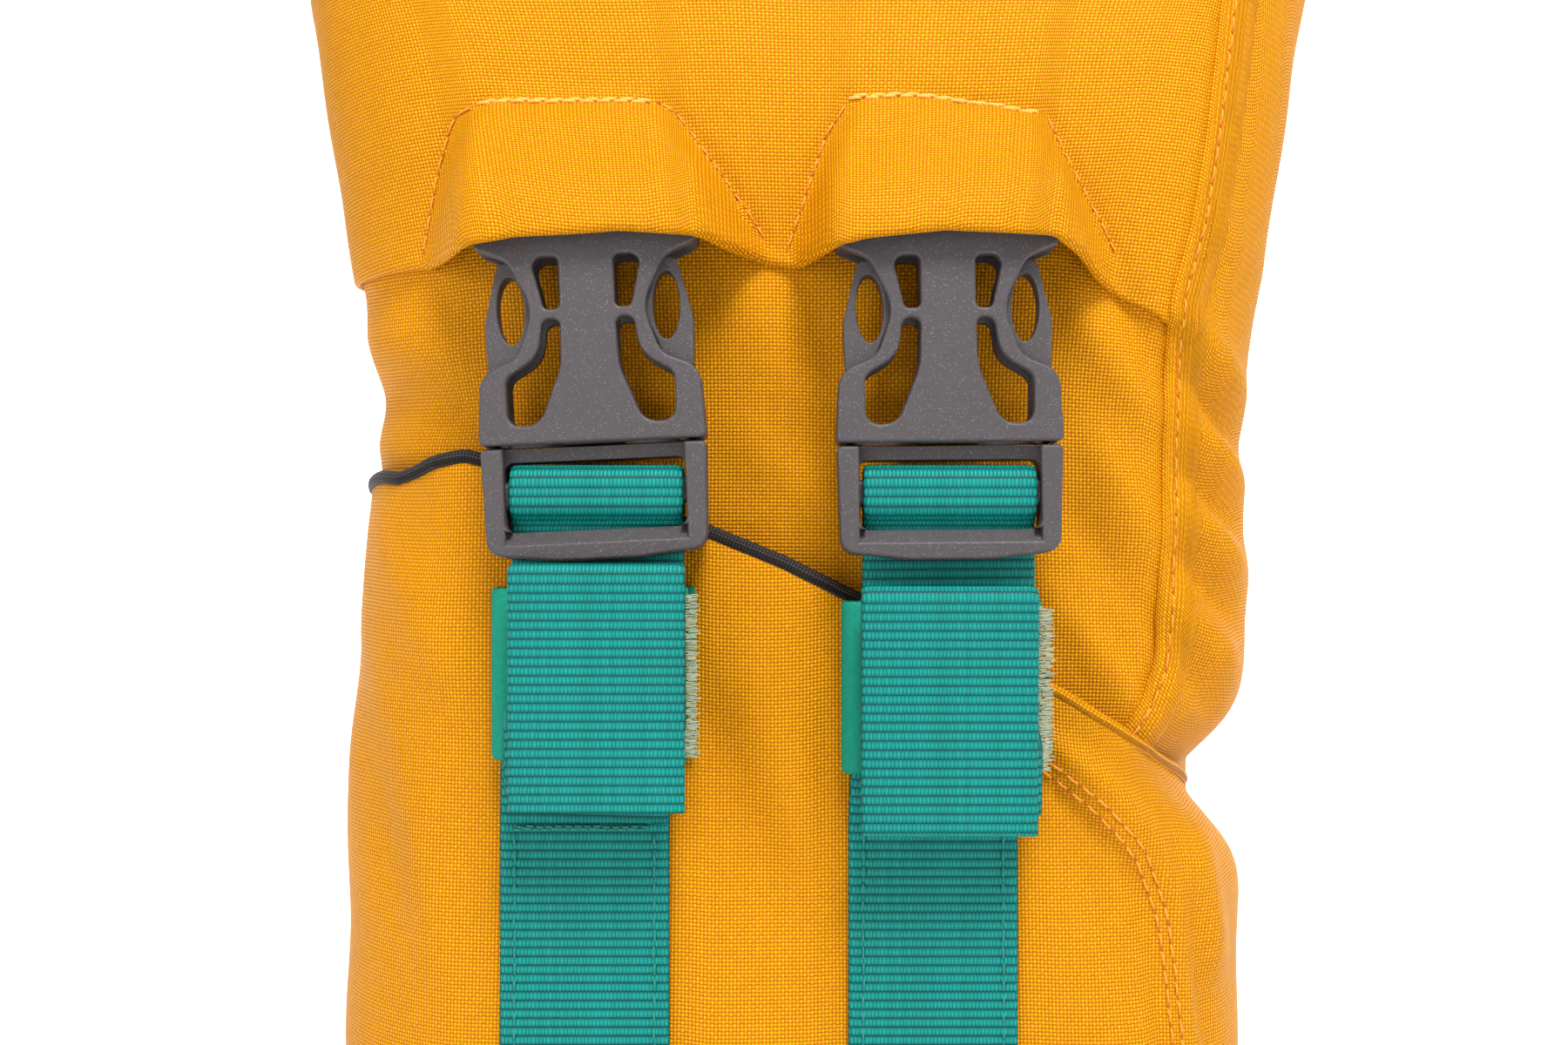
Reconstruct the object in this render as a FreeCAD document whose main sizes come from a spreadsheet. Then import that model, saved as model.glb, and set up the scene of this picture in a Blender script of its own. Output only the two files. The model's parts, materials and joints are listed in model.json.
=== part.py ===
"""Small roll-top dry bag with a strapped front pocket, as a parametric FreeCAD document.

Frame: millimetres, +Z up, the front of the bag faces -Y, +X is to the right of someone who
looks at the front. The origin is the middle of the base, on the surface the bag stands on.
Each buckle is drawn in its own frame: X across the strap, Z along it towards the socket,
-Y out of its front face, and the origin in the mouth where plug and socket meet.
"""
import FreeCAD, Part
import math
import os
import Sketcher

App = FreeCAD
Vector = App.Vector
Rotation = App.Rotation
Placement = App.Placement

doc = App.newDocument("dry_bag")
sheet = doc.addObject("Spreadsheet::Sheet", "Dims")

# Driving dimensions -----------------------------------------------------------------------

DIMENSIONS = {
    # fabrics and webbing
    "fabric": 1.0,            # coated fabric with its turned seam allowance
    "tape_thick": 0.9,        # hook-and-loop tape
    "seam_tape": 0.5,
    "web_width": 25.0,
    "web_thick": 1.2,
    # roll-top closure
    "neck_low": 290.0,        # height at which the tube is pressed flat
    "neck_half_thick": 3.2,
    "roll_low": 309.0,        # centre of the roll at the middle of the bag
    "roll_bend": 150.0,       # radius that the roll is bent to by its handle
    "roll_half_angle": 39.5,
    "roll_deep": 30.0,
    "roll_high": 14.0,
    "stiffener_deep": 22.0,
    "stiffener_thick": 1.2,
    "closure_mouth_x": -12.0,
    "closure_high": 391.0,
    # front straps
    "left_strap_x": -30.2,
    "right_strap_x": 21.2,
    "left_lean": 2.6,         # degrees that the left buckle leans to the left
    "right_lean": 0.5,
    "strap_top": 101.0,       # where the sewn part of each strap ends
    "strap_aside": 1.6,       # distance from the sewn part's middle to the loose part's, to the left
    "mouth_high": 156.5,      # mouth of the front buckles
    "buckle_out": 53.2,       # distance of the front buckles' middle plane from the origin
    "buckle_tip_back": 3.0,   # degrees that the top of each front buckle lies back
    "left_tail_drop": 0.0,    # how much lower than the left one each folded tail hangs
    "right_tail_drop": 3.0,
    "left_keeper_low": 110.5,
    "right_keeper_low": 108.5,
    "keeper_wide": 25.0,
    # buckle
    "socket_thick": 7.6,
    "plate_gap": 4.4,         # inside the socket, between its front and back plates
    "socket_long": 38.0,
    "socket_half": 16.4,
    "spine_half": 4.0,
    "frame_thick": 6.6,
    "frame_half": 16.3,
    "frame_long": 17.0,
    "frame_gap": 0.5,         # between plug and socket, at the mouth
    "window_half": 13.1,      # half the width left for the webbing
    "arm_thick": 3.8,
    "edge_round": 1.0,
    # front pocket
    "pocket_top": 154.0,
    "pocket_corner_x": -46.0,
    "pocket_fall": 0.41,      # drop of the slanted mouth per unit of width
    "pocket_side_y": -8.0,    # how far back the pocket is sewn down
    "pocket_seam_x": 56.0,
    "binding_high": 2.6,
    "binding_proud": 0.4,
    "side_seam_x": 56.0,
    # cover over the anchor tabs
    "cover_low": 185.0,
    "cover_lift": 0.4,        # gap between the cover and the tube where it is sewn down
    "cover_flat": 17.0,       # half width of the tunnel's flat top, at each strap
    "cover_slope": 9.0,       # width of each of its sides
    "cover_left_y": 6.0,      # how far back the cover reaches on the left side
    # ring on the back
    "ring_wire": 3.6,
    "ring_inside": 25.4,
    "ring_high": 168.0,
    "back_face": 42.9,        # where the tube's back is, beside the ring
}

# Sections of the stuffed tube: height, half width, half depth, corner radius.
BODY_SECTIONS = [
    (2.0, 69.5, 39.5, 25.0),
    (14.0, 71.5, 42.0, 28.0),
    (60.0, 72.5, 42.5, 30.0),
    (110.0, 71.5, 42.5, 30.0),
    (135.0, 72.0, 42.0, 30.0),
    (160.0, 70.5, 42.0, 29.0),
    (188.0, 74.5, 42.5, 30.0),
    (204.0, 77.5, 42.0, 29.0),
    (220.0, 80.5, 39.5, 28.0),
    (250.0, 88.0, 28.0, 21.0),
    (275.0, 95.5, 11.5, 9.5),
    (290.0, 99.0, 3.2, 2.2),
]
# Sections of the pocket's outer face, in the same order of numbers.
POCKET_SECTIONS = [
    (2.0, 71.0, 41.0, 26.0),
    (14.0, 74.0, 45.5, 29.0),
    (60.0, 75.5, 48.8, 31.0),
    (110.0, 75.5, 48.5, 32.0),
    (135.0, 75.4, 48.3, 32.0),
    (160.0, 75.0, 47.6, 32.0),
]

# The cover's rise over each strap: height, and how far it stands off the tube.
COVER_RISES = [(185.0, 15.4), (192.0, 15.0), (200.0, 11.5), (207.5, 4.6), (214.0, 3.6),
               (222.0, 1.0), (238.0, 0.8)]


def fill_sheet():
    """Writes every driving dimension and section into the spreadsheet under its alias."""
    cells = dict(DIMENSIONS)
    for stem, sections in (("body", BODY_SECTIONS), ("pocket", POCKET_SECTIONS)):
        for number, values in enumerate(sections):
            for word, value in zip(("height", "wide", "deep", "corner"), values):
                cells[f"{stem}_{word}_{'abcdefghijkl'[number]}"] = value
    for row, (alias, value) in enumerate(cells.items(), start=1):
        sheet.set(f"A{row}", alias)
        sheet.set(f"B{row}", str(value))
        sheet.setAlias(f"B{row}", alias)
    doc.recompute()


fill_sheet()


def dim(alias):
    """The value of one cell of the spreadsheet."""
    return float(sheet.get(alias))


# Helpers ----------------------------------------------------------------------------------

nodes = {}


def node(label, thing):
    """Names an object as one of the sub-parts that are written out."""
    thing.Label = label
    nodes[label] = thing
    return thing


def bind(thing, **expressions):
    """Binds properties to expressions of the spreadsheet's aliases."""
    for name, expression in expressions.items():
        thing.setExpression(name.replace("__", "."), expression)
    return thing


def shape_feature(name, shape, placement=None):
    """A Part::Feature for a shape that no parametric feature makes."""
    feature = doc.addObject("Part::Feature", name)
    feature.Shape = shape
    if placement is not None:
        feature.Placement = placement.multiply(feature.Placement)
    return feature


def boolean(kind, name, base, tool):
    """A Part::Cut, Part::Common or a two-piece Part::Fuse."""
    made = doc.addObject(f"Part::{kind}", name)
    made.Base = base
    made.Tool = tool
    return made


def box(name, low, high):
    """A Part::Box between two corners."""
    made = doc.addObject("Part::Box", name)
    made.Length, made.Width, made.Height = (b - a for a, b in zip(low, high))
    made.Placement.Base = Vector(*low)
    return made


def rounded_section(name, height, wide, deep, corner, inset):
    """A horizontal rounded rectangle, bound to the sheet and drawn in by an inset expression."""
    sketch = doc.addObject("Sketcher::SketchObject", name)
    w, d, r = dim(wide) - 1.0, dim(deep) - 1.0, dim(corner) - 1.0
    corners = [(w - r, d - r, 0), (r - w, d - r, 90), (r - w, r - d, 180), (w - r, r - d, 270)]
    lines, arcs = [], []
    ends = [((w, r - d), (w, d - r)), ((w - r, d), (r - w, d)),
            ((-w, d - r), (-w, r - d)), ((r - w, -d), (w - r, -d))]
    for (start, stop), (x, y, angle) in zip(ends, corners):
        line = Part.LineSegment(Vector(*start, 0), Vector(*stop, 0))
        lines.append(sketch.addGeometry(line))
        circle = Part.Circle(Vector(x, y, 0), Vector(0, 0, 1), r)
        turn = math.radians(angle)
        arcs.append(sketch.addGeometry(Part.ArcOfCircle(circle, turn, turn + math.pi / 2)))
    for number in range(4):
        following = lines[(number + 1) % 4]
        sketch.addConstraint(Sketcher.Constraint("Tangent", lines[number], 2, arcs[number], 1))
        sketch.addConstraint(Sketcher.Constraint("Tangent", arcs[number], 2, following, 1))
    for line, direction in zip(lines, ("Vertical", "Horizontal", "Vertical", "Horizontal")):
        sketch.addConstraint(Sketcher.Constraint(direction, line))
    for arc in arcs[1:]:
        sketch.addConstraint(Sketcher.Constraint("Equal", arcs[0], arc))
    sizes = [
        (Sketcher.Constraint("Radius", arcs[0], r), corner),
        (Sketcher.Constraint("DistanceX", -1, 1, lines[0], 1, w), wide),
        (Sketcher.Constraint("DistanceX", lines[2], 1, -1, 1, w), wide),
        (Sketcher.Constraint("DistanceY", -1, 1, lines[1], 1, d), deep),
        (Sketcher.Constraint("DistanceY", lines[3], 1, -1, 1, d), deep),
    ]
    for constraint, alias in sizes:
        index = sketch.addConstraint(constraint)
        sketch.setExpression(f"Constraints[{index}]", f"Dims.{alias} - ({inset})")
    sketch.setExpression("Placement.Base.z", f"Dims.{height}")
    return sketch


def section_loft(name, stem, count, inset):
    """A solid loft through the sections of one stem, drawn in by an inset expression."""
    sketches = []
    for letter in "abcdefghijkl"[:count]:
        cells = [f"{stem}_{word}_{letter}" for word in ("height", "wide", "deep", "corner")]
        sketches.append(rounded_section(f"{name}_{letter}", *cells, inset))
    loft = doc.addObject("Part::Loft", name)
    loft.Sections = sketches
    loft.Solid = True
    loft.Ruled = False
    loft.Closed = False
    return loft


def prism(name, outline, low_y, high_y):
    """An outline in the XZ plane, given as (x, z) points, extruded from one y to another."""
    points = [Vector(x, low_y, z) for x, z in outline]
    face = Part.Face(Part.makePolygon(points + points[:1]))
    return shape_feature(name, face.extrude(Vector(0, high_y - low_y, 0)))


def rounded_polygon(corners, y=0.0):
    """A closed wire in the XZ plane from (x, z, radius) corners, with tangent arcs at the corners."""
    count = len(corners)
    starts, edges = [], []
    for number, (x, z, radius) in enumerate(corners):
        here = Vector(x, y, z)
        before = Vector(corners[number - 1][0], y, corners[number - 1][1]) - here
        after = Vector(corners[(number + 1) % count][0], y, corners[(number + 1) % count][1]) - here
        before.normalize()
        after.normalize()
        half = before.getAngle(after) / 2
        if radius <= 0 or abs(half - math.pi / 2) < 1e-3:
            starts.append((here, None, here))
            continue
        back = radius / math.tan(half)
        middle = before + after
        middle.normalize()
        centre = here + middle * (radius / math.sin(half))
        starts.append((here + before * back, centre - middle * radius, here + after * back))
    for number, (first, through, last) in enumerate(starts):
        if through is not None:
            edges.append(Part.Arc(first, through, last).toShape())
        following = starts[(number + 1) % count][0]
        if (following - last).Length > 1e-6:
            edges.append(Part.LineSegment(last, following).toShape())
    return Part.Wire(edges)


def mirrored(corners):
    """The same corners on the other side of the YZ plane, in the order that keeps the wire closed."""
    return [(-x, z, radius) for x, z, radius in reversed(corners)]


def slab(wire, thick):
    """A flat solid of an XZ wire, centred on the wire's own plane."""
    face = Part.Face(wire)
    face.translate(Vector(0, -thick / 2, 0))
    return face.extrude(Vector(0, thick, 0))


def turtle_wire(start, heading, moves):
    """A wire in a plane from lengths and (radius, angle) turns. heading and angles are in degrees.

    start is (a, b); the wire is returned with those as X and Y, and a positive angle turns left.
    """
    a, b = start
    edges = []
    for move in moves:
        if isinstance(move, tuple):
            radius, angle = move
            side = 1 if angle > 0 else -1
            turn = math.radians(heading)
            centre = (a - side * radius * math.sin(turn), b + side * radius * math.cos(turn))
            points = []
            for share in (0, 0.5, 1):
                at = math.radians(heading + share * angle - 90 * side)
                points.append(Vector(centre[0] + radius * math.cos(at),
                                     centre[1] + radius * math.sin(at), 0))
            edges.append(Part.Arc(*points).toShape())
            a, b = points[2].x, points[2].y
            heading += angle
        else:
            turn = math.radians(heading)
            stop = (a + move * math.cos(turn), b + move * math.sin(turn))
            edges.append(Part.LineSegment(Vector(a, b, 0), Vector(*stop, 0)).toShape())
            a, b = stop
    return Part.Wire(edges)


def strip(wire, wide, thick):
    """Tape of one thickness that follows a wire of the XY plane and is as wide as stated along Z."""
    edge = wire.OrderedEdges[0]
    start = edge.valueAt(edge.FirstParameter)
    along = edge.tangentAt(edge.FirstParameter)
    across = Vector(-along.y, along.x, 0)
    corners = [start + across * (thick / 2 * i) + Vector(0, 0, wide / 2 * j)
               for i, j in ((-1, -1), (1, -1), (1, 1), (-1, 1))]
    profile = Part.makePolygon(corners + corners[:1])
    return wire.makePipeShell([profile], True, False)


def stand(shape, matrix_rotation, base):
    """A copy of a shape turned and moved by a placement."""
    copy = shape.copy()
    copy.Placement = Placement(base, matrix_rotation)
    return copy


# The XY plane of a turtle wire stood up so that X is outwards (-Y of the bag) and Y is up.
SIDE_ON = Rotation(Vector(0, -1, 0), Vector(0, 0, 1), Vector(-1, 0, 0), "XYZ")
# The XY plane of a turtle wire laid with X along the bag's X and Y outwards (-Y of the bag).
PLAN_ON = Rotation(Vector(1, 0, 0), Vector(0, -1, 0), Vector(0, 0, -1), "XYZ")
# The XY plane of a turtle wire stood in the bag's XZ plane.
FRONT_ON = Rotation(Vector(1, 0, 0), Vector(0, 0, 1), Vector(0, -1, 0), "XYZ")


def round_edges(shape, radius, chosen):
    """The shape with the chosen edges rounded, trying smaller radii where one doesn't build."""
    edges = [edge for edge in shape.Edges if chosen(edge)]
    for share in (1.0, 0.75, 0.5, 0.35):
        try:
            made = shape.makeFillet(radius * share, edges)
            if made.isValid() and made.Volume > 0.7 * shape.Volume:
                return made
        except Part.OCCError:
            continue
    print("no rounding on a shape of", len(edges), "edges")
    return shape


# The tube, its base and its tapes ----------------------------------------------------------

def make_tube():
    """The stuffed fabric tube, cut along its two side seams, with the tapes that seal the seams."""
    count = len(BODY_SECTIONS)
    outer = section_loft("tube_outer", "body", count, "0")
    inner = section_loft("tube_inner", "body", count, "Dims.fabric")
    lining = section_loft("tube_lining", "body", count, "Dims.fabric + Dims.seam_tape")
    tube = boolean("Cut", "tube", outer, inner)
    ahead = prism("front_side", [(-120, 0), (dim("side_seam_x"), 0), (dim("side_seam_x"), 300),
                                 (-120, 300)], -100, 0)
    node("front_panel", boolean("Common", "front_panel_cut", tube, ahead))
    node("back_panel", boolean("Cut", "back_panel_cut", tube, ahead))

    inside = boolean("Cut", "tape_layer", inner, lining)
    seam = dim("side_seam_x")
    along = box("side_tape_place", (seam - 9, -60, 13), (seam + 9, 0, 270))
    node("side_seam_tape", boolean("Common", "side_tape_cut", inside, along))
    low = box("base_tape_place", (-90, -60, 2), (90, 60, 12))
    node("base_seam_tape", boolean("Common", "base_tape_cut", inside, low))


def make_base():
    """The base panel, a rounded rectangle that the tube is sewn round."""
    outline = rounded_section("base_outline", "body_height_a", "body_wide_a", "body_deep_a",
                              "body_corner_a", "-0.8")
    outline.setExpression("Placement.Base.z", None)
    outline.Placement.Base.z = 0
    base = doc.addObject("Part::Extrusion", "base")
    base.Base = outline
    base.DirMode = "Custom"
    base.Dir = Vector(0, 0, 1)
    base.Solid = True
    bind(base, LengthFwd="Dims.body_height_a")
    node("base_panel", base)


# The roll-top ------------------------------------------------------------------------------

def roll_point(radius, angle):
    """(x, z) on a circle about the centre that the roll is bent round; angle 0 is straight down."""
    turn = math.radians(angle)
    centre = dim("roll_low") + dim("roll_bend")
    return radius * math.sin(turn), centre - radius * math.cos(turn)


def make_neck():
    """The tube pressed flat between the stuffed part and the roll."""
    under = dim("roll_bend") + dim("roll_high") / 2 + 0.2
    reach = dim("roll_half_angle") - 2.0
    half = dim("body_wide_l")
    left, middle, right = (roll_point(under, a) for a in (-reach, 0, reach))
    thick = dim("neck_half_thick")
    low = dim("neck_low")
    corners = [Vector(right[0], -thick, right[1]), Vector(half, -thick, low),
               Vector(-half, -thick, low), Vector(left[0], -thick, left[1])]
    edges = [Part.LineSegment(a, b).toShape() for a, b in zip(corners, corners[1:])]
    edges.append(Part.Arc(corners[3], Vector(middle[0], -thick, middle[1]), corners[0]).toShape())
    face = Part.Face(Part.Wire(edges))
    node("collar_neck", shape_feature("neck", face.extrude(Vector(0, 2 * thick, 0))))


def bent_bar(name, deep, high, hollow=None):
    """A bar of stadium section bent to the roll's arc, with an optional flat slot through it."""
    def stadium(depth, height):
        radius = height / 2
        flat = depth / 2 - radius
        z = dim("roll_low")
        ends = [Vector(0, -flat, z - radius), Vector(0, flat, z - radius),
                Vector(0, flat, z + radius), Vector(0, -flat, z + radius)]
        return Part.Wire([
            Part.LineSegment(ends[0], ends[1]).toShape(),
            Part.Arc(ends[1], Vector(0, flat + radius, z), ends[2]).toShape(),
            Part.LineSegment(ends[2], ends[3]).toShape(),
            Part.Arc(ends[3], Vector(0, -flat - radius, z), ends[0]).toShape(),
        ])
    face = Part.Face(stadium(deep, high))
    if hollow:
        face = face.cut(Part.Face(stadium(*hollow)))
    section = shape_feature(name + "_section", face)
    bar = doc.addObject("Part::Revolution", name)
    bar.Source = section
    bar.Axis = Vector(0, 1, 0)
    bar.Base = Vector(0, 0, dim("roll_low") + dim("roll_bend"))
    bar.Symmetric = True
    bar.Solid = True
    bind(bar, Angle="Dims.roll_half_angle * 2")
    return bar


def make_roll():
    """The collar rolled down on its stiffening strip."""
    slot = (dim("stiffener_deep") + 1.0, dim("stiffener_thick") + 0.6)
    node("collar_roll", bent_bar("roll", dim("roll_deep"), dim("roll_high"), slot))
    node("closure_stiffener", bent_bar("stiffener", dim("stiffener_deep"), dim("stiffener_thick")))


# The front pocket --------------------------------------------------------------------------

def pocket_line(x, above=0.0):
    """Height of the pocket's slanted mouth at one x, raised along the fabric by some distance."""
    return dim("pocket_top") - dim("pocket_fall") * (x - dim("pocket_corner_x")) + above


def pocket_outline(above=0.0):
    """The pocket's outline seen from the front, as (x, z) points, up to its mouth."""
    corner = dim("pocket_corner_x")
    return [(-90, 2.0), (90, 2.0), (90, pocket_line(90, above)),
            (corner, dim("pocket_top") + above), (-90, dim("pocket_top") + above)]


def make_pocket():
    """The slip pocket: its front, the gusset right of its seam, and the bound edge of its mouth."""
    count = len(POCKET_SECTIONS)
    skin = boolean("Cut", "pocket_skin", section_loft("pocket_outer", "pocket", count, "0"),
                   section_loft("pocket_inner", "pocket", count, "Dims.fabric"))
    ahead = prism("pocket_place", pocket_outline(), -80, dim("pocket_side_y"))
    whole = boolean("Common", "pocket_whole", skin, ahead)
    seam = dim("pocket_seam_x")
    right = box("pocket_right", (seam, -80, 0), (100, 0, 200))
    node("pocket_panel", boolean("Cut", "pocket_panel_cut", whole, right))
    node("pocket_gusset", boolean("Common", "pocket_gusset_cut", whole, right))

    proud = "Dims.binding_proud"
    cover = boolean("Cut", "binding_skin", section_loft("binding_outer", "pocket", count, f"-{proud}"),
                    section_loft("binding_inner", "pocket", count, f"Dims.fabric + {proud}"))
    upper = pocket_outline(dim("binding_high"))[2:]
    lower = pocket_outline()[2:]
    band = prism("binding_place", upper + lower[::-1], -80, -25)
    node("pocket_binding", boolean("Common", "binding_cut", cover, band))


# The cover over the anchor tabs ------------------------------------------------------------

def tube_outline(tube, height, count=40):
    """Points of the tube's section at one height, from its left side round the front to the seam."""
    wire = max(tube.slice(Vector(0, 0, 1), height), key=lambda w: w.Length)
    points = [p for p in wire.discretize(Number=600)]
    left = dim("cover_left_y")
    kept = [p for p in points if p.y < (left if p.x < 0 else 0) and p.x < dim("side_seam_x") - 1.5]
    kept.sort(key=lambda p: math.atan2(p.x, -p.y))
    step = (len(kept) - 1) / (count - 1)
    return [kept[round(number * step)] for number in range(count)]


def cover_rise(x, height_rise):
    """How far the cover stands off at one x: a flat tunnel over each strap with sloped sides."""
    share = 0.0
    for middle in (dim("left_strap_x") - 1.5, dim("right_strap_x")):
        beyond = (abs(x - middle) - dim("cover_flat")) / dim("cover_slope")
        share = max(share, 0.5 + 0.5 * math.cos(math.pi * min(1.0, max(0.0, beyond))))
    return dim("cover_lift") + height_rise * share


def cover_ring(outline, rise):
    """The closed section of the cover round one outline of the tube."""
    curves = []
    for skin in (dim("fabric"), 0.0):
        points = []
        for number, point in enumerate(outline):
            before = outline[max(0, number - 1)]
            after = outline[min(len(outline) - 1, number + 1)]
            along = after - before
            outward = Vector(along.y, -along.x, 0)
            outward.normalize()
            points.append(point + outward * (cover_rise(point.x, rise) + skin))
        curve = Part.BSplineCurve()
        curve.interpolate(points)
        curves.append(curve.toShape())
    ends = [edge.valueAt(edge.ParameterRange[i]) for edge in curves for i in (0, 1)]
    return Part.Wire([curves[0], Part.LineSegment(ends[1], ends[3]).toShape(), curves[1],
                      Part.LineSegment(ends[2], ends[0]).toShape()])


def make_cover(tube):
    """The doubled strip sewn over the anchor tabs, with a tunnel for each socket."""
    rings = [cover_ring(tube_outline(tube, height), rise) for height, rise in COVER_RISES]
    node("front_cover", shape_feature("cover", Part.makeLoft(rings, True, True)))


# Buckle pieces, in the buckle's own frame --------------------------------------------------

def socket_outline():
    """Right half of the socket's outline: collar, shoulder, waist round the arm, wing and top."""
    half, top = dim("socket_half"), dim("socket_long")
    return [
        (half, 0.0, 0.8),
        (half - 0.5, 10.2, 3.6),
        (10.4, 12.4, 3.6),
        (7.9, 19.5, 6.5),
        (11.4, 26.6, 3.4),
        (half - 0.1, 28.6, 1.5),
        (half - 0.1, top, 3.0),
    ]


def socket_windows():
    """The two windows right of the spine."""
    inner = dim("spine_half")
    upper = [(inner, 27.1, 1.0), (8.1, 27.1, 1.5), (6.3, 19.4, 0.9), (inner, 19.4, 0.9)]
    lower = [(inner, 18.0, 1.2), (6.6, 18.0, 1.4), (7.3, 12.6, 4.5), (12.2, 9.6, 2.0),
             (12.1, 2.6, 2.0), (7.5, 2.6, 3.0), (inner + 0.2, 11.0, 8.0)]
    return [upper, lower]


def arm_room():
    """Right half of the room between the plates, open at the mouth and at the sides."""
    inner = dim("spine_half") + 0.3
    return [(inner, -1.0, 0), (14.7, -1.0, 0), (14.7, 7.4, 0), (13.9, 8.2, 0), (13.9, 9.6, 0),
            (20.0, 13.0, 0), (20.0, 28.4, 0), (11.0, 28.4, 0), (inner, 27.4, 0)]


def web_bar(half, low, high, thick):
    """A bar across the strap for webbing to turn round, with its long edges rounded."""
    bar = Part.makeBox(2 * half, thick, high - low, Vector(-half, -thick / 2, low))
    long_edges = [edge for edge in bar.Edges if abs(edge.tangentAt(0).x) > 0.9]
    return bar.makeFillet(0.4 * thick, long_edges)


def socket_shape():
    """Socket: two windowed plates on a solid spine, with a webbing slot at its far end."""
    outline = socket_outline()
    body = slab(rounded_polygon(outline + mirrored(outline)), dim("socket_thick"))
    far = 2 * dim("socket_thick")
    cuts = []
    for window in socket_windows():
        cuts += [slab(rounded_polygon(w), far) for w in (window, mirrored(window))]
    top = dim("socket_long")
    slot = [(13.1, top - 5.9, 0.8), (13.1, top + 1.0, 0)]
    cuts.append(slab(rounded_polygon(slot + mirrored(slot)), far))
    body = body.cut(Part.makeCompound(cuts))
    front = dim("socket_thick") / 2 - 0.01

    def on_a_face(edge):
        """True for an edge that lies in the front or back face."""
        return all(abs(v.Y) > front for v in edge.Vertexes) and len(edge.Vertexes) > 1
    body = round_edges(body, dim("edge_round"), on_a_face)
    rooms = [slab(rounded_polygon(r), dim("plate_gap")) for r in (arm_room(), mirrored(arm_room()))]
    body = body.cut(Part.makeCompound(rooms))
    return body.fuse(web_bar(13.4, top - 3.1, top, 2.6)).removeSplitter()


def arm_shape():
    """Right spring arm: a thin stem, and a leaf-shaped press pad with an oval window."""
    stem = [(13.6, -0.2, 0.3), (13.6, 10.2, 0), (14.9, 10.6, 0.4), (15.2, 17.5, 9.0),
            (12.9, 27.3, 1.4), (10.3, 26.0, 2.0), (7.9, 19.0, 6.0), (10.6, 12.3, 3.0),
            (12.4, 9.4, 1.0), (12.4, -0.2, 0.3)]
    arm = slab(rounded_polygon(stem), dim("arm_thick"))
    hole = Part.Ellipse(Vector(11.4, 0, 24.6), Vector(13.3, 0, 19.6), Vector(11.3, 0, 19.6))
    arm = arm.cut(slab(Part.Wire(hole.toShape()), 2 * dim("arm_thick")))
    front = dim("arm_thick") / 2 - 0.01

    def on_a_face(edge):
        """True for an edge of the pad's front or back face."""
        low = min(v.Z for v in edge.Vertexes)
        return all(abs(v.Y) > front for v in edge.Vertexes) and low > 10.0
    return round_edges(arm, 0.45, on_a_face)


def frame_shape():
    """Plug without its arms: a ladder-lock frame with a fixed middle bar for the webbing."""
    half, long, gap = dim("frame_half"), dim("frame_long"), dim("frame_gap")
    thick, window = dim("frame_thick"), dim("window_half")
    right = [(half, -gap, 0.7), (half - 0.5, 1.2 - long, 2.4), (6.0, -long, 12.0)]
    body = slab(rounded_polygon(right + mirrored(right)), thick)
    inner = 4.4 - long
    opening = [(window, -2.4, 1.2), (window, inner, 1.4)]
    body = body.cut(slab(rounded_polygon(opening + mirrored(opening)), 2 * thick))
    # the end bar is only as deep as the front half, so that the webbing passes behind it,
    # and slopes down to the front inside the window
    behind = Part.makeBox(2 * window, thick, 8.2, Vector(-window, 0, -long - 2.6))
    ahead = Part.makeBox(2 * window, thick, 3.0, Vector(-window, -thick - 1.0, -3.0))
    slope = Part.makePolygon([Vector(-window, *yz) for yz in (
        (-0.8, inner + 0.1), (-thick, inner + 0.1), (-thick, inner - 2.6), (-thick / 2, inner - 2.0),
        (-0.8, inner + 0.1))])
    ramp = Part.Face(slope).extrude(Vector(2 * window, 0, 0))
    body = body.cut(Part.makeCompound([behind, ahead])).cut(ramp)
    front = thick / 2 - 0.01

    def on_front(edge):
        """True for an edge that lies in the front face."""
        return all(v.Y < -front for v in edge.Vertexes) and len(edge.Vertexes) > 1
    body = round_edges(body, dim("edge_round"), on_front)
    return body.fuse(web_bar(window + 0.5, -9.2, -5.2, 2.4)).removeSplitter()


SOCKET, ARM, FRAME = socket_shape(), arm_shape(), frame_shape()


def make_buckle(prefix, place):
    """The socket, the plug's frame and its two arms, at one placement."""
    node(f"{prefix}_socket", shape_feature(f"{prefix}_socket_shape", SOCKET, place))
    node(f"{prefix}_plug_frame", shape_feature(f"{prefix}_frame_shape", FRAME, place))
    node(f"{prefix}_arm_right", shape_feature(f"{prefix}_arm_a", ARM, place))
    other = ARM.mirror(Vector(0, 0, 0), Vector(1, 0, 0))
    node(f"{prefix}_arm_left", shape_feature(f"{prefix}_arm_b", other, place))


# Webbing -----------------------------------------------------------------------------------

def front_place(side):
    """Placement of one front buckle."""
    lean = dim(f"{side}_lean")
    base = Vector(dim(f"{side}_strap_x"), -dim("buckle_out"), dim("mouth_high"))
    turn = Rotation(Vector(0, 1, 0), -lean).multiply(
        Rotation(Vector(1, 0, 0), -dim("buckle_tip_back")))
    return Placement(base, turn)


def front_of(shape, x, height):
    """How far out the front of a shape is at one x and height."""
    ray = Part.makeLine(Vector(x, -200, height), Vector(x, 0, height))
    return -min(v.Y for v in shape.common(ray).Vertexes)


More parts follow.
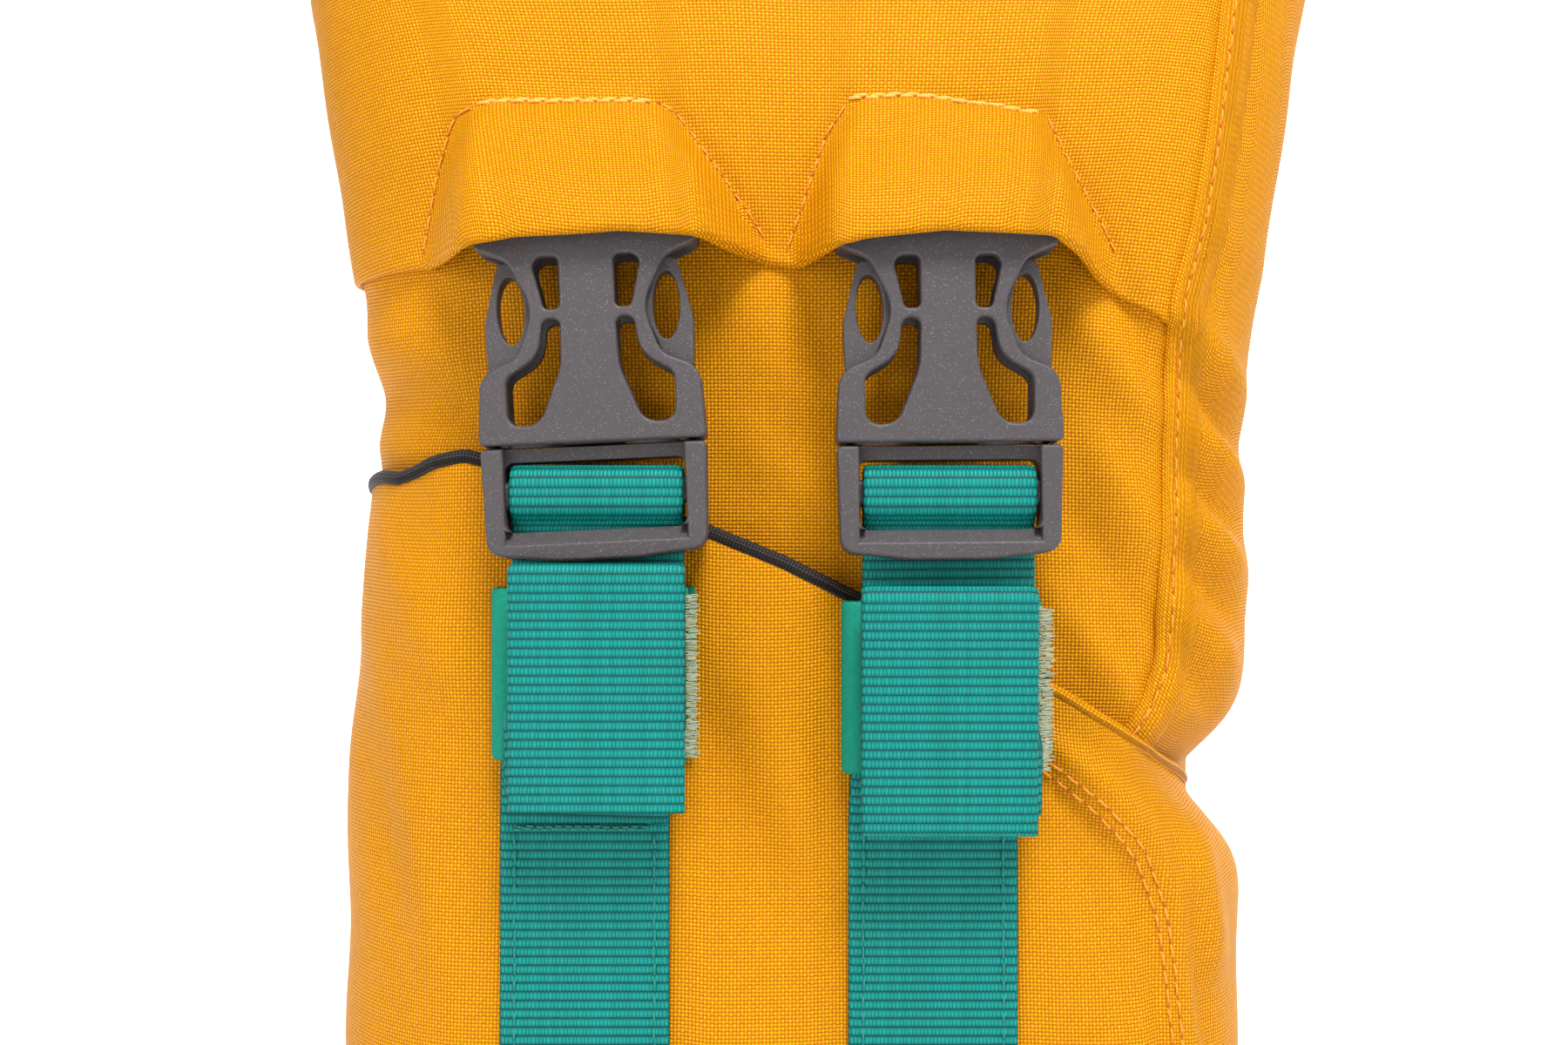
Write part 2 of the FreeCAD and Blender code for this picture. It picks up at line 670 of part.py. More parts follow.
def make_sewn_strap(side, pocket):
    """The part of one strap that is sewn down the front of the pocket."""
    thick, wide, gap = dim("web_thick"), dim("web_width"), 0.3
    x = dim(f"{side}_strap_x") - dim("strap_aside")
    low, high = 3.0, dim("strap_top")
    curves = []
    for out in (gap, gap + thick):
        points = []
        for number in range(9):
            height = low + (high - low) * (number / 8) ** 1.4
            far = max(front_of(pocket, x + across, height) for across in (-wide / 2, wide / 2))
            points.append(Vector(0, -far - out, height))
        curve = Part.BSplineCurve()
        curve.interpolate(points)
        curves.append(curve.toShape())
    ends = [edge.valueAt(edge.ParameterRange[i]) for edge in curves for i in (0, 1)]
    wire = Part.Wire([curves[0], Part.LineSegment(ends[1], ends[3]).toShape(), curves[1],
                      Part.LineSegment(ends[2], ends[0]).toShape()])
    solid = Part.Face(wire).extrude(Vector(wide, 0, 0))
    place = Placement(Vector(x - wide / 2, 0, 0), Rotation())
    node(f"{side}_strap_sewn", shape_feature(f"{side}_sewn", solid, place))
    return -ends[1].y + thick / 2


def loose_x(side):
    """Middle of the loose strap, which runs down from the middle of its leaning frame."""
    return dim(f"{side}_strap_x") + 8.5 * math.sin(math.radians(dim(f"{side}_lean")))


def make_free_strap(side, out):
    """The loose part of one strap: up to the frame, over its bar, back down and folded away."""
    bend, lean_out = 10.0, 16.0
    level = dim("buckle_out") + 0.4 - 2.27
    rise = (level - out - 2 * bend * (1 - math.cos(math.radians(lean_out))))
    rise /= math.sin(math.radians(lean_out))
    climbed = 2 * bend * math.sin(math.radians(lean_out)) + rise * math.cos(math.radians(lean_out))
    start = dim("strap_top") + 0.4
    over_bar = dim("mouth_high") - 6.0
    down = 37.25 + dim(f"{side}_tail_drop")
    moves = [
        (bend, -lean_out), rise, (bend, lean_out), over_bar - start - climbed,
        (2.27, -180.0),                                     # over the middle bar
        2.4, (2.0, -60.0), 0.89, (2.0, 60.0),               # down and back behind the end bar
        down, (1.95, 180.0), 30.7, (0.85, -180.0), 34.65,   # tail folded in three
    ]
    wire = turtle_wire((out, start), 90.0, moves)
    solid = stand(strip(wire, dim("web_width"), dim("web_thick")), SIDE_ON, Vector(0, 0, 0))
    place = Placement(Vector(loose_x(side), 0, 0), Rotation())
    node(f"{side}_strap_free", shape_feature(f"{side}_free", solid, place))


def make_keeper(side):
    """The hook-and-loop keeper: a loop tape round both layers and a hook tape under the tail."""
    middle = dim(f"{side}_keeper_low") + dim("keeper_wide") / 2
    wire = turtle_wire((14.6, 49.6), 180.0, [27.4, (2.425, -180.0), 26.6])
    solid = stand(strip(wire, dim("keeper_wide"), dim("tape_thick")), PLAN_ON, Vector(0, 0, 0))
    place = Placement(Vector(loose_x(side), 0, middle), Rotation())
    node(f"{side}_keeper_loop", shape_feature(f"{side}_loop_tape", solid, place))
    hook = doc.addObject("Part::Box", f"{side}_hook_tape")
    hook.Length = 27.0
    bind(hook, Width="Dims.tape_thick", Height="Dims.keeper_wide - 1")
    hook.Placement.Base = Vector(loose_x(side) - 11.2, -56.1, dim(f"{side}_keeper_low") + 0.5)
    node(f"{side}_keeper_hook", hook)


def make_anchor_tab(side):
    """The webbing loop that holds one socket, sewn to the bag under the cover."""
    out = dim("buckle_out") - 36.2 * math.sin(math.radians(dim("buckle_tip_back")))
    loop = 2.25
    first, second = out - loop - 48.65, out + loop - 53.15
    moves = [
        7.0, (6.0, 30.0), 4.24 + first / 0.643, (6.0, -40.0), 4.9 - first * 1.19,
        (loop, 180.0),                                      # round the socket's bar
        0.5, (7.0, 55.0), 2.84 + second / 0.819, (7.0, -45.0), 7.5,
    ]
    wire = turtle_wire((42.0, 214.0), -80.0, moves)
    solid = stand(strip(wire, dim("web_width"), dim("web_thick")), SIDE_ON, Vector(0, 0, 0))
    lean = dim(f"{side}_lean")
    bar_high = dim("mouth_high") + 36.2
    x = dim(f"{side}_strap_x") - 36.2 * math.sin(math.radians(lean))
    place = Placement(Vector(x, 0, 0), Rotation(Vector(0, 1, 0), -lean), Vector(0, 0, bar_high))
    node(f"{side}_anchor_tab", shape_feature(f"{side}_tab", solid, place))


# The closure's handle ----------------------------------------------------------------------

def closure_place():
    """The closure buckle lies along X with its front face up."""
    turn = Rotation(Vector(0, -1, 0), Vector(0, 0, -1), Vector(1, 0, 0), "XYZ")
    return Placement(Vector(dim("closure_mouth_x"), 0, dim("closure_high")), turn)


def make_closure_tab(name, side, bar_x, ending):
    """Webbing from one end of the roll, curled up and in to a bar of the closure buckle."""
    angle, slant = dim("roll_half_angle"), 15.0
    x, z = roll_point(dim("roll_bend"), angle)
    step, radius, settle = 1.0, 20.0, 24.0
    turn, tilt = math.radians(angle), math.radians(slant)
    start = (x + step * math.cos(turn), z + step * math.sin(turn))
    leave_x = start[0] - radius * math.sin(turn) + radius * math.sin(tilt)
    leave_z = start[1] + radius * math.cos(turn) + radius * math.cos(tilt)
    level = dim("closure_high") - ending[0][0]
    run = (level - settle * (1 - math.cos(tilt)) - leave_z) / math.sin(tilt)
    reach = leave_x - run * math.cos(tilt) - settle * math.sin(tilt)
    moves = [(radius, 180.0 - slant - angle), run, (settle, slant), reach - bar_x] + ending
    wire = turtle_wire(start, angle, moves)
    solid = stand(strip(wire, dim("web_width"), dim("web_thick")), FRONT_ON, Vector(0, 0, 0))
    if side < 0:
        solid = solid.mirror(Vector(0, 0, 0), Vector(1, 0, 0))
    node(name, shape_feature(name + "_webbing", solid))


# The ring on the back ----------------------------------------------------------------------

def make_ring():
    """A D-ring that hangs in a webbing loop on the back of the bag."""
    wire, inside = dim("ring_wire"), dim("ring_inside")
    thick = dim("web_thick")
    loop = wire / 2 + 0.35 + thick / 2
    near = dim("back_face") + 0.3 + thick / 2
    radius = (inside + wire) / 2
    high, out = dim("ring_high"), near + loop
    left, right = Vector(-radius, out, high), Vector(radius, out, high)
    low = high - 6.0
    spine = Part.Wire([
        Part.LineSegment(right, left).toShape(),
        Part.LineSegment(left, Vector(-radius, out, low)).toShape(),
        Part.Arc(Vector(-radius, out, low), Vector(0, out, low - radius),
                 Vector(radius, out, low)).toShape(),
        Part.LineSegment(Vector(radius, out, low), right).toShape(),
    ])
    bar = Part.makeCylinder(wire / 2, 2 * radius, left, Vector(1, 0, 0))
    half_bend = Part.Wire(spine.Edges[1:])
    around = Part.Wire(Part.makeCircle(wire / 2, left, Vector(0, 0, 1)))
    bend = half_bend.makePipeShell([around], True, False)
    caps = [Part.makeSphere(wire / 2, end) for end in (left, right)]
    ring = bar.fuse([bend] + caps).removeSplitter()
    node("d_ring", shape_feature("ring", ring))

    meet = (2 * loop - 1.35 - 10 * (1 - math.cos(math.radians(30)))) * 2
    moves = [18.0, (loop, -180.0), (5.0, -30.0), meet, (5.0, 30.0), 7.0]
    tab_wire = turtle_wire((-near, high + 18.0), -90.0, moves)
    solid = stand(strip(tab_wire, dim("web_width") - 1.0, thick), SIDE_ON, Vector(0, 0, 0))
    node("d_ring_tab", shape_feature("ring_tab", solid))


# Build and write ---------------------------------------------------------------------------

def build():
    """Makes every sub-part."""
    make_tube()
    make_base()
    make_neck()
    make_roll()
    make_pocket()
    doc.recompute()
    make_cover(doc.getObject("tube_outer").Shape)
    pocket = doc.getObject("pocket_outer").Shape
    for side in ("left", "right"):
        make_buckle(side, front_place(side))
        make_free_strap(side, make_sewn_strap(side, pocket))
        make_keeper(side)
        make_anchor_tab(side)
    make_buckle("closure", closure_place())
    mouth = dim("closure_mouth_x")
    make_closure_tab("closure_socket_tab", 1, mouth + dim("socket_long") - 1.8,
                     [(2.25, -180.0), 0.5, (6.0, -25.0), 4.8, (6.0, 25.0), 6.0])
    make_closure_tab("closure_plug_tab", -1, 6.0 - mouth,
                     [(2.27, -180.0), 2.3, (2.0, -60.0), 1.27, (2.0, 60.0), 13.7])
    make_ring()


def check_and_write():
    """Stops on a failed object or an invalid shape, then writes one STEP file per sub-part."""
    doc.recompute()
    for thing in doc.Objects:
        if "Invalid" in thing.State or "Error" in thing.State:
            raise RuntimeError(f"{thing.Name} ({thing.Label}) failed: {thing.State}")
    os.makedirs("parts", exist_ok=True)
    for old in os.listdir("parts"):
        if old.endswith(".step"):
            os.remove(os.path.join("parts", old))
    for label, thing in nodes.items():
        shape = thing.Shape
        if shape.isNull() or not shape.isValid() or not shape.Solids:
            raise RuntimeError(f"{label} has no valid solid")
        print(f"{label:22s} solids {len(shape.Solids)}  volume {shape.Volume:10.1f} mm3")
        shape.exportStep(os.path.join("parts", f"{label}.step"))


build()
check_and_write()
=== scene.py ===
"""Looks of the dry bag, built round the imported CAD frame. The bag's front faces -Y. Lengths are
millimetres until mesh_object() writes them in metres."""
import itertools
import json
import math
import random
import bmesh
import bpy
import numpy as np
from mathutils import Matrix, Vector
from mathutils.bvhtree import BVHTree

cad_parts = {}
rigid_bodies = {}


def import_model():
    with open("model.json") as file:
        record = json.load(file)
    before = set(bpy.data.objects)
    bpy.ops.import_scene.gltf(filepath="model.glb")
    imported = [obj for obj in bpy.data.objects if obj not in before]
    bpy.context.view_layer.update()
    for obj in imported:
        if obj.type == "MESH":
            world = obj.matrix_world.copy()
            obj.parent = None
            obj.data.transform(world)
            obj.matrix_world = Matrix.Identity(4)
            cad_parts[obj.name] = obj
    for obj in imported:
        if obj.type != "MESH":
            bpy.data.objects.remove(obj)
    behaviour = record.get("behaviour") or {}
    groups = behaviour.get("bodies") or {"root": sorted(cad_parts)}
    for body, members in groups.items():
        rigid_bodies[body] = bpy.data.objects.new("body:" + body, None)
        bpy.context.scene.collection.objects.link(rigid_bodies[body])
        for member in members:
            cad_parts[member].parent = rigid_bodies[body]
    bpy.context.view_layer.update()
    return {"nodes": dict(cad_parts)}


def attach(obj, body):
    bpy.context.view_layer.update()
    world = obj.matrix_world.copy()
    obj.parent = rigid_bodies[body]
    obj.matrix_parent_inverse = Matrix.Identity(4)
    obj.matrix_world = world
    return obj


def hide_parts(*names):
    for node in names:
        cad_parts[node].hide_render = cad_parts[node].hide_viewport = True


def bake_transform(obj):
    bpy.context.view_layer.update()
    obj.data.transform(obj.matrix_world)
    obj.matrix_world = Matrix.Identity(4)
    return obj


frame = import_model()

MM = 0.001
random.seed(7)

# Sizes repeated from the CAD -----------------------------------------------------------------

# height, half width, half depth, corner radius
TUBE = [(2, 69.5, 39.5, 25), (14, 71.5, 42, 28), (60, 72.5, 42.5, 30), (110, 71.5, 42.5, 30),
        (135, 72, 42, 30), (160, 70.5, 42, 29), (188, 74.5, 42.5, 30), (204, 77.5, 42, 29),
        (220, 80.5, 39.5, 28), (250, 88, 28, 21), (275, 95.5, 11.5, 9.5), (290, 99, 3.2, 2.2),
        (345, 96, 1.6, 1.2)]
POCKET = [(2, 71, 41, 26), (14, 74, 45.5, 29), (60, 75.5, 48.8, 31), (110, 75.5, 48.5, 32),
          (135, 75.4, 48.3, 32), (160, 75, 47.6, 32)]
WEB_WIDE, WEB_THICK, RIB = 25.0, 1.2, 1.3
STRAPS = {"left": (-30.2, 2.6), "right": (21.2, 0.5)}   # middle of the buckle, its lean in degrees
MOUTH_HIGH, BUCKLE_OUT, TIP_BACK = 156.5, 53.2, 3.0
STRAP_TOP, STRAP_ASIDE = 101.0, 1.9
TAIL_DROP = {"left": 0.0, "right": 3.2}
PIVOT_UP, PLUG_BAR = 36.2, 6.0        # from a buckle's mouth to its socket's bar and its plug's bar
SOCKET_LOOP, PLUG_LOOP = 2.25, 2.27   # radii of the webbing round those bars
BODY_FRONT = 42.6                     # how far out the tube's front stands under the cover
STITCH_ASIDE = 10.3                   # from a sewn strap's middle to its two lines of stitches
KEEPER_LOW = {"left": 110.5, "right": 108.5}
ROLL_CENTRE, ROLL_BEND, ROLL_HALF = 459.0, 150.0, 39.5
CLOSURE_X, CLOSURE_HIGH = -12.0, 391.0
NECK_LOW, NECK_RISE = 290.0, 45.0


def smooth(edge0, edge1, value):
    """0 below edge0, 1 above edge1 and smooth between."""
    share = np.clip((value - edge0) / (edge1 - edge0), 0.0, 1.0)
    return share * share * (3 - 2 * share)


def unit(vectors):
    """Vectors scaled to a length of one."""
    return vectors / np.maximum(np.linalg.norm(vectors, axis=-1, keepdims=True), 1e-9)


def lengths_along(points):
    """How far along a path each of its points is."""
    return np.r_[0, np.cumsum(np.linalg.norm(np.diff(points, axis=0), axis=1))]


def points_at(points, known, places):
    """Points of a path at new places, where known holds the places of its own points."""
    return np.stack([np.interp(places, known, column) for column in np.transpose(points)], axis=1)


def section(table, height):
    """The other columns of a table at one value of its first, by monotone cubic interpolation."""
    rows = np.array(table, float)
    z = rows[:, 0]
    slope = np.gradient(rows[:, 1:], z, axis=0)
    height = float(np.clip(height, z[0], z[-1]))
    i = int(np.clip(np.searchsorted(z, height) - 1, 0, len(z) - 2))
    h = z[i + 1] - z[i]
    t = (height - z[i]) / h
    p0, p1, m0, m1 = rows[i, 1:], rows[i + 1, 1:], slope[i] * h, slope[i + 1] * h
    limit = 3 * np.abs(p1 - p0)
    m0, m1 = np.clip(m0, -limit, limit), np.clip(m1, -limit, limit)
    return ((2 * t ** 3 - 3 * t ** 2 + 1) * p0 + (t ** 3 - 2 * t ** 2 + t) * m0
            + (3 * t ** 2 - 2 * t ** 3) * p1 + (t ** 3 - t ** 2) * m1)


def curve(table, values):
    """A two-column table read smoothly at an array of values."""
    fine = np.linspace(table[0][0], table[-1][0], 300)
    return np.interp(values, fine, [section(table, v)[0] for v in fine])


def outline(wide, deep, corner, counts=(24, 16, 10, 44, 110, 60, 14, 16, 24)):
    """Points round a section from the middle of the back, by the left side and the front."""
    w, d, r = wide, deep, min(corner, deep, wide)
    stations = [(0, d), (r - w, d), (-w, d - r), (-w, r - d), (r - w, -d), (w - r, -d),
                (w, r - d), (w, d - r), (w - r, d), (0, d)]
    centres = {1: (r - w, d - r, 90), 3: (r - w, r - d, 180), 5: (w - r, r - d, 270),
               7: (w - r, d - r, 0)}
    points = []
    for leg, count in enumerate(counts):
        steps = np.arange(count) / count
        if leg in centres:
            x, y, angle = centres[leg]
            turn = np.radians(angle + 90 * steps)
            points.append(np.c_[x + r * np.cos(turn), y + r * np.sin(turn)])
        else:
            a, b = np.array(stations[leg], float), np.array(stations[leg + 1], float)
            points.append(a + (b - a) * steps[:, None])
    return np.vstack(points + [np.array([[0.0, d]])])


def ridge(points, start, end, width, high):
    """Height of one long soft fold over points, both given as (x, z) seen from the front."""
    a, b = np.array(start, float), np.array(end, float)
    flat = points[..., (0, 2)] - a
    along = unit(b - a)
    length = np.linalg.norm(b - a)
    t = flat @ along
    off = np.linalg.norm(flat - np.clip(t, 0, length)[..., None] * along, axis=-1)
    fade = smooth(-0.25 * length, 0.3 * length, t) * (1 - smooth(0.7 * length, 1.25 * length, t))
    return high * np.exp(-(off / width) ** 2) * fade


def folds(points, rows):
    """Ridges together. Each row holds where one starts and ends, its width and its height."""
    return sum(ridge(points, *row) for row in rows)


def billow(points, scale, seed):
    """Slow uneven waviness of about -1 to 1, made of a few fixed waves."""
    rng = np.random.default_rng(seed)
    total = np.zeros(points.shape[:-1])
    for _ in range(6):
        direction = unit(rng.normal(size=3))
        total += np.sin(points @ direction * (2 * math.pi / (scale * rng.uniform(0.6, 1.6)))
                        + rng.uniform(0, 6.28))
    return total / 3.0


def grid_normals(grid):
    """Outward normals of a grid that climbs by rows and runs left to right, seen from outside."""
    return unit(np.cross(np.gradient(grid, axis=1), np.gradient(grid, axis=0)))


# Mesh helpers ----------------------------------------------------------------------------------

def mesh_object(name, points, faces, uv, material, smooth_shading=True):
    """A mesh object from points and one (u, v) for each of them, both in millimetres."""
    mesh = bpy.data.meshes.new(name)
    mesh.from_pydata((np.asarray(points, float) * MM).tolist(), [], faces)
    layer = mesh.uv_layers.new(name="thread")
    loops = np.empty(len(mesh.loops), int)
    mesh.loops.foreach_get("vertex_index", loops)
    layer.data.foreach_set("uv", (np.asarray(uv, float)[loops] * MM).ravel())
    mesh.polygons.foreach_set("use_smooth", [smooth_shading] * len(mesh.polygons))
    mesh.materials.append(material)
    mesh.update()
    piece = bpy.data.objects.new(name, mesh)
    bpy.context.scene.collection.objects.link(piece)
    return piece


def shell(name, grid, uv, thick, material, round_trip=False):
    """A sheet of one thickness under a grid of outer points, as a closed solid.

    On a round trip the last column lies on the first, and the two are welded."""
    rows, columns = grid.shape[:2]
    normal = grid_normals(grid)
    if round_trip:
        grid[:, -1] = grid[:, 0]
        normal[:, 0] = normal[:, -1] = (normal[:, 0] + normal[:, -1]) / 2
    inner = grid - normal * thick
    count = rows * columns
    points = np.vstack([grid.reshape(-1, 3), inner.reshape(-1, 3)])
    faces = []
    for r in range(rows - 1):
        for c in range(columns - 1):
            a, f = r * columns + c, (r + 1) * columns + c
            faces.append((a, a + 1, f + 1, f))
            faces.append((f + count, f + 1 + count, a + 1 + count, a + count))
    rim = []
    for c in range(columns - 1):
        rim.append((c + 1, c))
        rim.append(((rows - 1) * columns + c, (rows - 1) * columns + c + 1))
    if not round_trip:
        for r in range(rows - 1):
            rim.append((r * columns, (r + 1) * columns))
            rim.append(((r + 2) * columns - 1, (r + 1) * columns - 1))
    for a, b in rim:
        faces.append((a, b, b + count, a + count))
    flat_uv = uv.reshape(-1, 2)
    piece = mesh_object(name, points, faces, np.vstack([flat_uv, flat_uv]), material)
    if round_trip:
        welded = bmesh.new()
        welded.from_mesh(piece.data)
        bmesh.ops.remove_doubles(welded, verts=welded.verts, dist=1e-7)
        welded.to_mesh(piece.data)
        welded.free()
    return piece


def grid_uv(grid):
    """Threads of a grid: across by its middle row's length, and up by each column's own length."""
    across = lengths_along(grid[len(grid) // 2])
    up = np.zeros(grid.shape[:2])
    up[1:] = np.cumsum(np.linalg.norm(np.diff(grid, axis=0), axis=2), axis=0)
    return np.stack([np.broadcast_to(across, up.shape), up], axis=-1)


def tree_of(*pieces):
    """A BVH tree of pieces, in millimetres."""
    points, faces = [], []
    for piece in pieces:
        start = len(points)
        points += [v.co / MM for v in piece.data.vertices]
        faces += [[start + i for i in p.vertices] for p in piece.data.polygons]
    return BVHTree.FromPolygons(points, faces)


def on_front(tree, x, z, lift=0.0):
    """The point of a tree's surface that someone in front sees at (x, z), and its normal."""
    hit, normal, _, _ = tree.ray_cast(Vector((x, -200, z)), Vector((0, 1, 0)))
    if hit is None:
        return None, None
    if normal.y > 0:
        normal = -normal
    return hit + normal * lift, normal


def walk(points, step):
    """Points every step along a polyline."""
    known = lengths_along(points)
    return points_at(points, known, np.arange(int(known[-1] / step) + 1) * step)


def sleeve(rings, sides, start=0):
    """Faces of a closed solid whose points lie in rings, one ring after the other."""
    faces = []
    for ring in range(rings - 1):
        base = start + ring * sides
        for k in range(sides):
            m = (k + 1) % sides
            faces.append((base + k, base + m, base + sides + m, base + sides + k))
    faces.append(tuple(start + k for k in reversed(range(sides))))
    faces.append(tuple(start + (rings - 1) * sides + k for k in range(sides)))
    return faces


def capsule(points, faces, ends, across, normal, radius, lifts, sides=6):
    """Adds one thread that arches out of the cloth between two seats."""
    start = len(points)
    p, q = ends
    for share, lift, fat in lifts:
        middle = p.lerp(q, share) + normal * lift
        for k in range(sides):
            turn = 2 * math.pi * k / sides
            out = across * math.cos(turn) + normal * math.sin(turn)
            points.append(middle + out * radius * fat)
    faces += sleeve(len(lifts), sides, start)


def sew(name, tree, route, material, slot, pitch=3.0, share=0.74, radius=0.24, double=False,
        holes=True):
    """Lock stitches along a route of (x, z) points, with dark capsules between them as painted
    shade in the needle's holes.
    """
    threads, pits = ([], []), ([], [])
    arch = [(0, -0.28, 0.6), (0.12, 0.04, 0.95), (0.5, 0.14, 1.0), (0.88, 0.04, 0.95),
            (1, -0.28, 0.6)]
    seats = [on_front(tree, p[0], p[1]) for p in walk(route, pitch)]
    for (a, na), (b, nb) in zip(seats, seats[1:]):
        if a is None or b is None or (b - a).length > 3 * pitch:
            continue
        along = b - a
        normal = ((na + nb) / 2).normalized()
        across = normal.cross(along).normalized()
        side = across * random.uniform(-0.08, 0.08)
        for shift in ((-0.17, 0.17) if double else (0.0,)):
            p = a + along * (0.5 - share / 2 + shift) + side + across * shift + normal * 0.08
            capsule(*threads, (p, p + along * share), across, normal, radius, arch)
        # painted shade: a small dark capsule where the needle's hole is
        if holes:
            h = a + along * random.uniform(-0.03, 0.03) + side
            capsule(*pits, (h - along * 0.09, h + along * 0.09), across, normal, radius * 1.15,
                    [(0, 0.0, 0.8), (0.5, 0.03, 1.0), (1, 0.0, 0.8)])
    for suffix, (points, faces), look in (("", threads, material), ("_holes", pits, HOLE_SHADE)):
        if points:
            piece = mesh_object(name + suffix, [tuple(p) for p in points], faces,
                                [(0, 0)] * len(points), look)
            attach(piece, "bag")


def lap(name, tree, route, profile, material, thick=0.35, step=1.6):
    """A folded seam allowance laid on a surface, right of a route of (x, z) points.

    profile holds (distance from the route, height over the surface) pairs.
    """
    grid = []
    stations = walk(route, step)
    for number, here in enumerate(stations):
        before, after = stations[max(0, number - 1)], stations[min(len(stations) - 1, number + 1)]
        along = unit(after - before)
        row = []
        for away, lift in profile:
            hit, normal = on_front(tree, here[0] + abs(along[1]) * away,
                                   here[1] + along[0] * away * (1 if along[1] < 0 else -1))
            if hit is None:
                break
            row.append(np.array(hit + normal * lift))
        if len(row) == len(profile):
            grid.append(row)
    grid = np.array(grid)[::-1]
    piece = shell(name, grid, grid_uv(grid), thick, material)
    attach(piece, "bag")
    return piece


# Materials -------------------------------------------------------------------------------------

class Nodes:
    """A short way to write a node tree."""

    def __init__(self, name):
        self.material = bpy.data.materials.new(name)
        self.material.use_nodes = True
        self.tree = self.material.node_tree
        self.shader = self.tree.nodes["Principled BSDF"]

    def add(self, kind, *inputs, output=0, **settings):
        """A node with its inputs given in order as values or links, and its settings by name."""
        node = self.tree.nodes.new(kind)
        for key, value in settings.items():
            setattr(node, key, value)
        for number, value in enumerate(inputs):
            if isinstance(value, bpy.types.NodeSocket):
                self.tree.links.new(value, node.inputs[number])
            elif value is not None:
                node.inputs[number].default_value = value
        return node.outputs[output]

    def math(self, operation, *inputs):
        """A Math node."""
        return self.add("ShaderNodeMath", *inputs, operation=operation)

    def mix(self, factor, a, b, blend="MIX"):
        """A colour mix. The node keeps its colours in inputs 6 and 7 and in output 2."""
        return self.add("ShaderNodeMix", factor, *[None] * 5, a, b, output=2, data_type="RGBA",
                        blend_type=blend)

    def place(self):
        """The place on the object, in metres."""
        return self.add("ShaderNodeTexCoord", output="Object")

    def thread(self):
        """The two coordinates of the thread map, in metres."""
        thread_map = self.add("ShaderNodeUVMap", uv_map="thread")
        return self.add("ShaderNodeSeparateXYZ", thread_map).node.outputs[:2]

    def noise(self, scale, detail=2.0, roughness=0.5):
        """Noise over the object, as a value."""
        return self.add("ShaderNodeTexNoise", self.place(), None, scale, detail, roughness)

    def random_of(self, value):
        """A random number for each whole value."""
        return self.add("ShaderNodeTexWhiteNoise", None, value, noise_dimensions="1D")

    def shaded(self, colour, tone):
        """A colour made darker or lighter by a value."""
        grey = self.add("ShaderNodeCombineColor", tone, tone, tone)
        return self.mix(1.0, colour, grey, "MULTIPLY")

    def finish(self, colour, height, depth, roughness, strength=1.0, **constants):
        """Links colour, bump and roughness to the shader."""
        links = self.tree.links
        links.new(colour, self.shader.inputs["Base Color"])
        bump = self.tree.nodes.new("ShaderNodeBump")
        bump.inputs["Strength"].default_value = strength
        bump.inputs["Distance"].default_value = depth
        links.new(height, bump.inputs["Height"])
        links.new(bump.outputs[0], self.shader.inputs["Normal"])
        if isinstance(roughness, bpy.types.NodeSocket):
            links.new(roughness, self.shader.inputs["Roughness"])
        else:
            self.shader.inputs["Roughness"].default_value = roughness
        for key, value in constants.items():
            self.shader.inputs[key.replace("_", " ")].default_value = value
        return self.material


def weave_height(nodes, u, v, pitch):
    """Height of a plain weave of oval knuckles, 0 to 1, with each cell's number and direction."""
    a, b = (nodes.math("MULTIPLY", c, 1.0 / (pitch * MM)) for c in (u, v))
    ia, ib = (nodes.math("FLOOR", c) for c in (a, b))
    fa, fb = (nodes.math("SUBTRACT", nodes.math("FRACT", c), 0.5) for c in (a, b))
    odd = nodes.math("FLOORED_MODULO", nodes.math("ADD", ia, ib), 2.0)
    wide = nodes.math("MULTIPLY_ADD", odd, -0.24, 0.64)
    tall = nodes.math("MULTIPLY_ADD", odd, 0.24, 0.40)
    da, db = (nodes.math("POWER", nodes.math("ABSOLUTE", nodes.math("DIVIDE", f, half)), 2.0)
              for f, half in ((fa, wide), (fb, tall)))
    bulge = nodes.math("SUBTRACT", 1.0, nodes.math("ADD", da, db))
    height = nodes.math("POWER", nodes.math("MAXIMUM", bulge, 0.0), 0.5)
    cell = nodes.math("MULTIPLY_ADD", ia, 7.31, nodes.math("MULTIPLY", ib, 3.17))
    return height, cell, ia, ib, odd


def fabric(name, valley_shade, top, pitch, weft=0.86):
    """Heavy plain-weave cloth with slightly uneven yarns, and painted shade in the weave's valleys
    where the yarns dip.
    """
    nodes = Nodes(name)
    u, v = nodes.thread()
    height, cell, ia, ib, odd = weave_height(nodes, u, v, pitch)
    yarn = nodes.math("ADD", nodes.random_of(ia), nodes.random_of(nodes.math("ADD", ib, 0.37)))
    shade = nodes.math("MULTIPLY_ADD", yarn, 0.025, 0.955)
    uneven = nodes.math("MULTIPLY_ADD", nodes.random_of(cell), 0.10, 0.92)
    shade = nodes.math("MULTIPLY", shade, uneven)
    shade = nodes.math("MULTIPLY", shade, nodes.math("MULTIPLY_ADD", odd, 1.0 - weft, weft))
    patch = nodes.math("MULTIPLY_ADD", nodes.noise(30.0, 3.0), 0.12, 0.94)
    # painted shade: the weave's height mixes the darker valley colour, where the yarns dip, into
    # the knuckles' top colour
    colour = nodes.mix(height, (*valley_shade, 1), (*top, 1))
    tone = nodes.math("MULTIPLY", shade, patch)
    tinted = nodes.shaded(colour, tone)
    rough = nodes.math("MULTIPLY_ADD", height, -0.12, 0.6)
    return nodes.finish(tinted, height, 0.00023, rough, 1.0, Specular_IOR_Level=0.1)


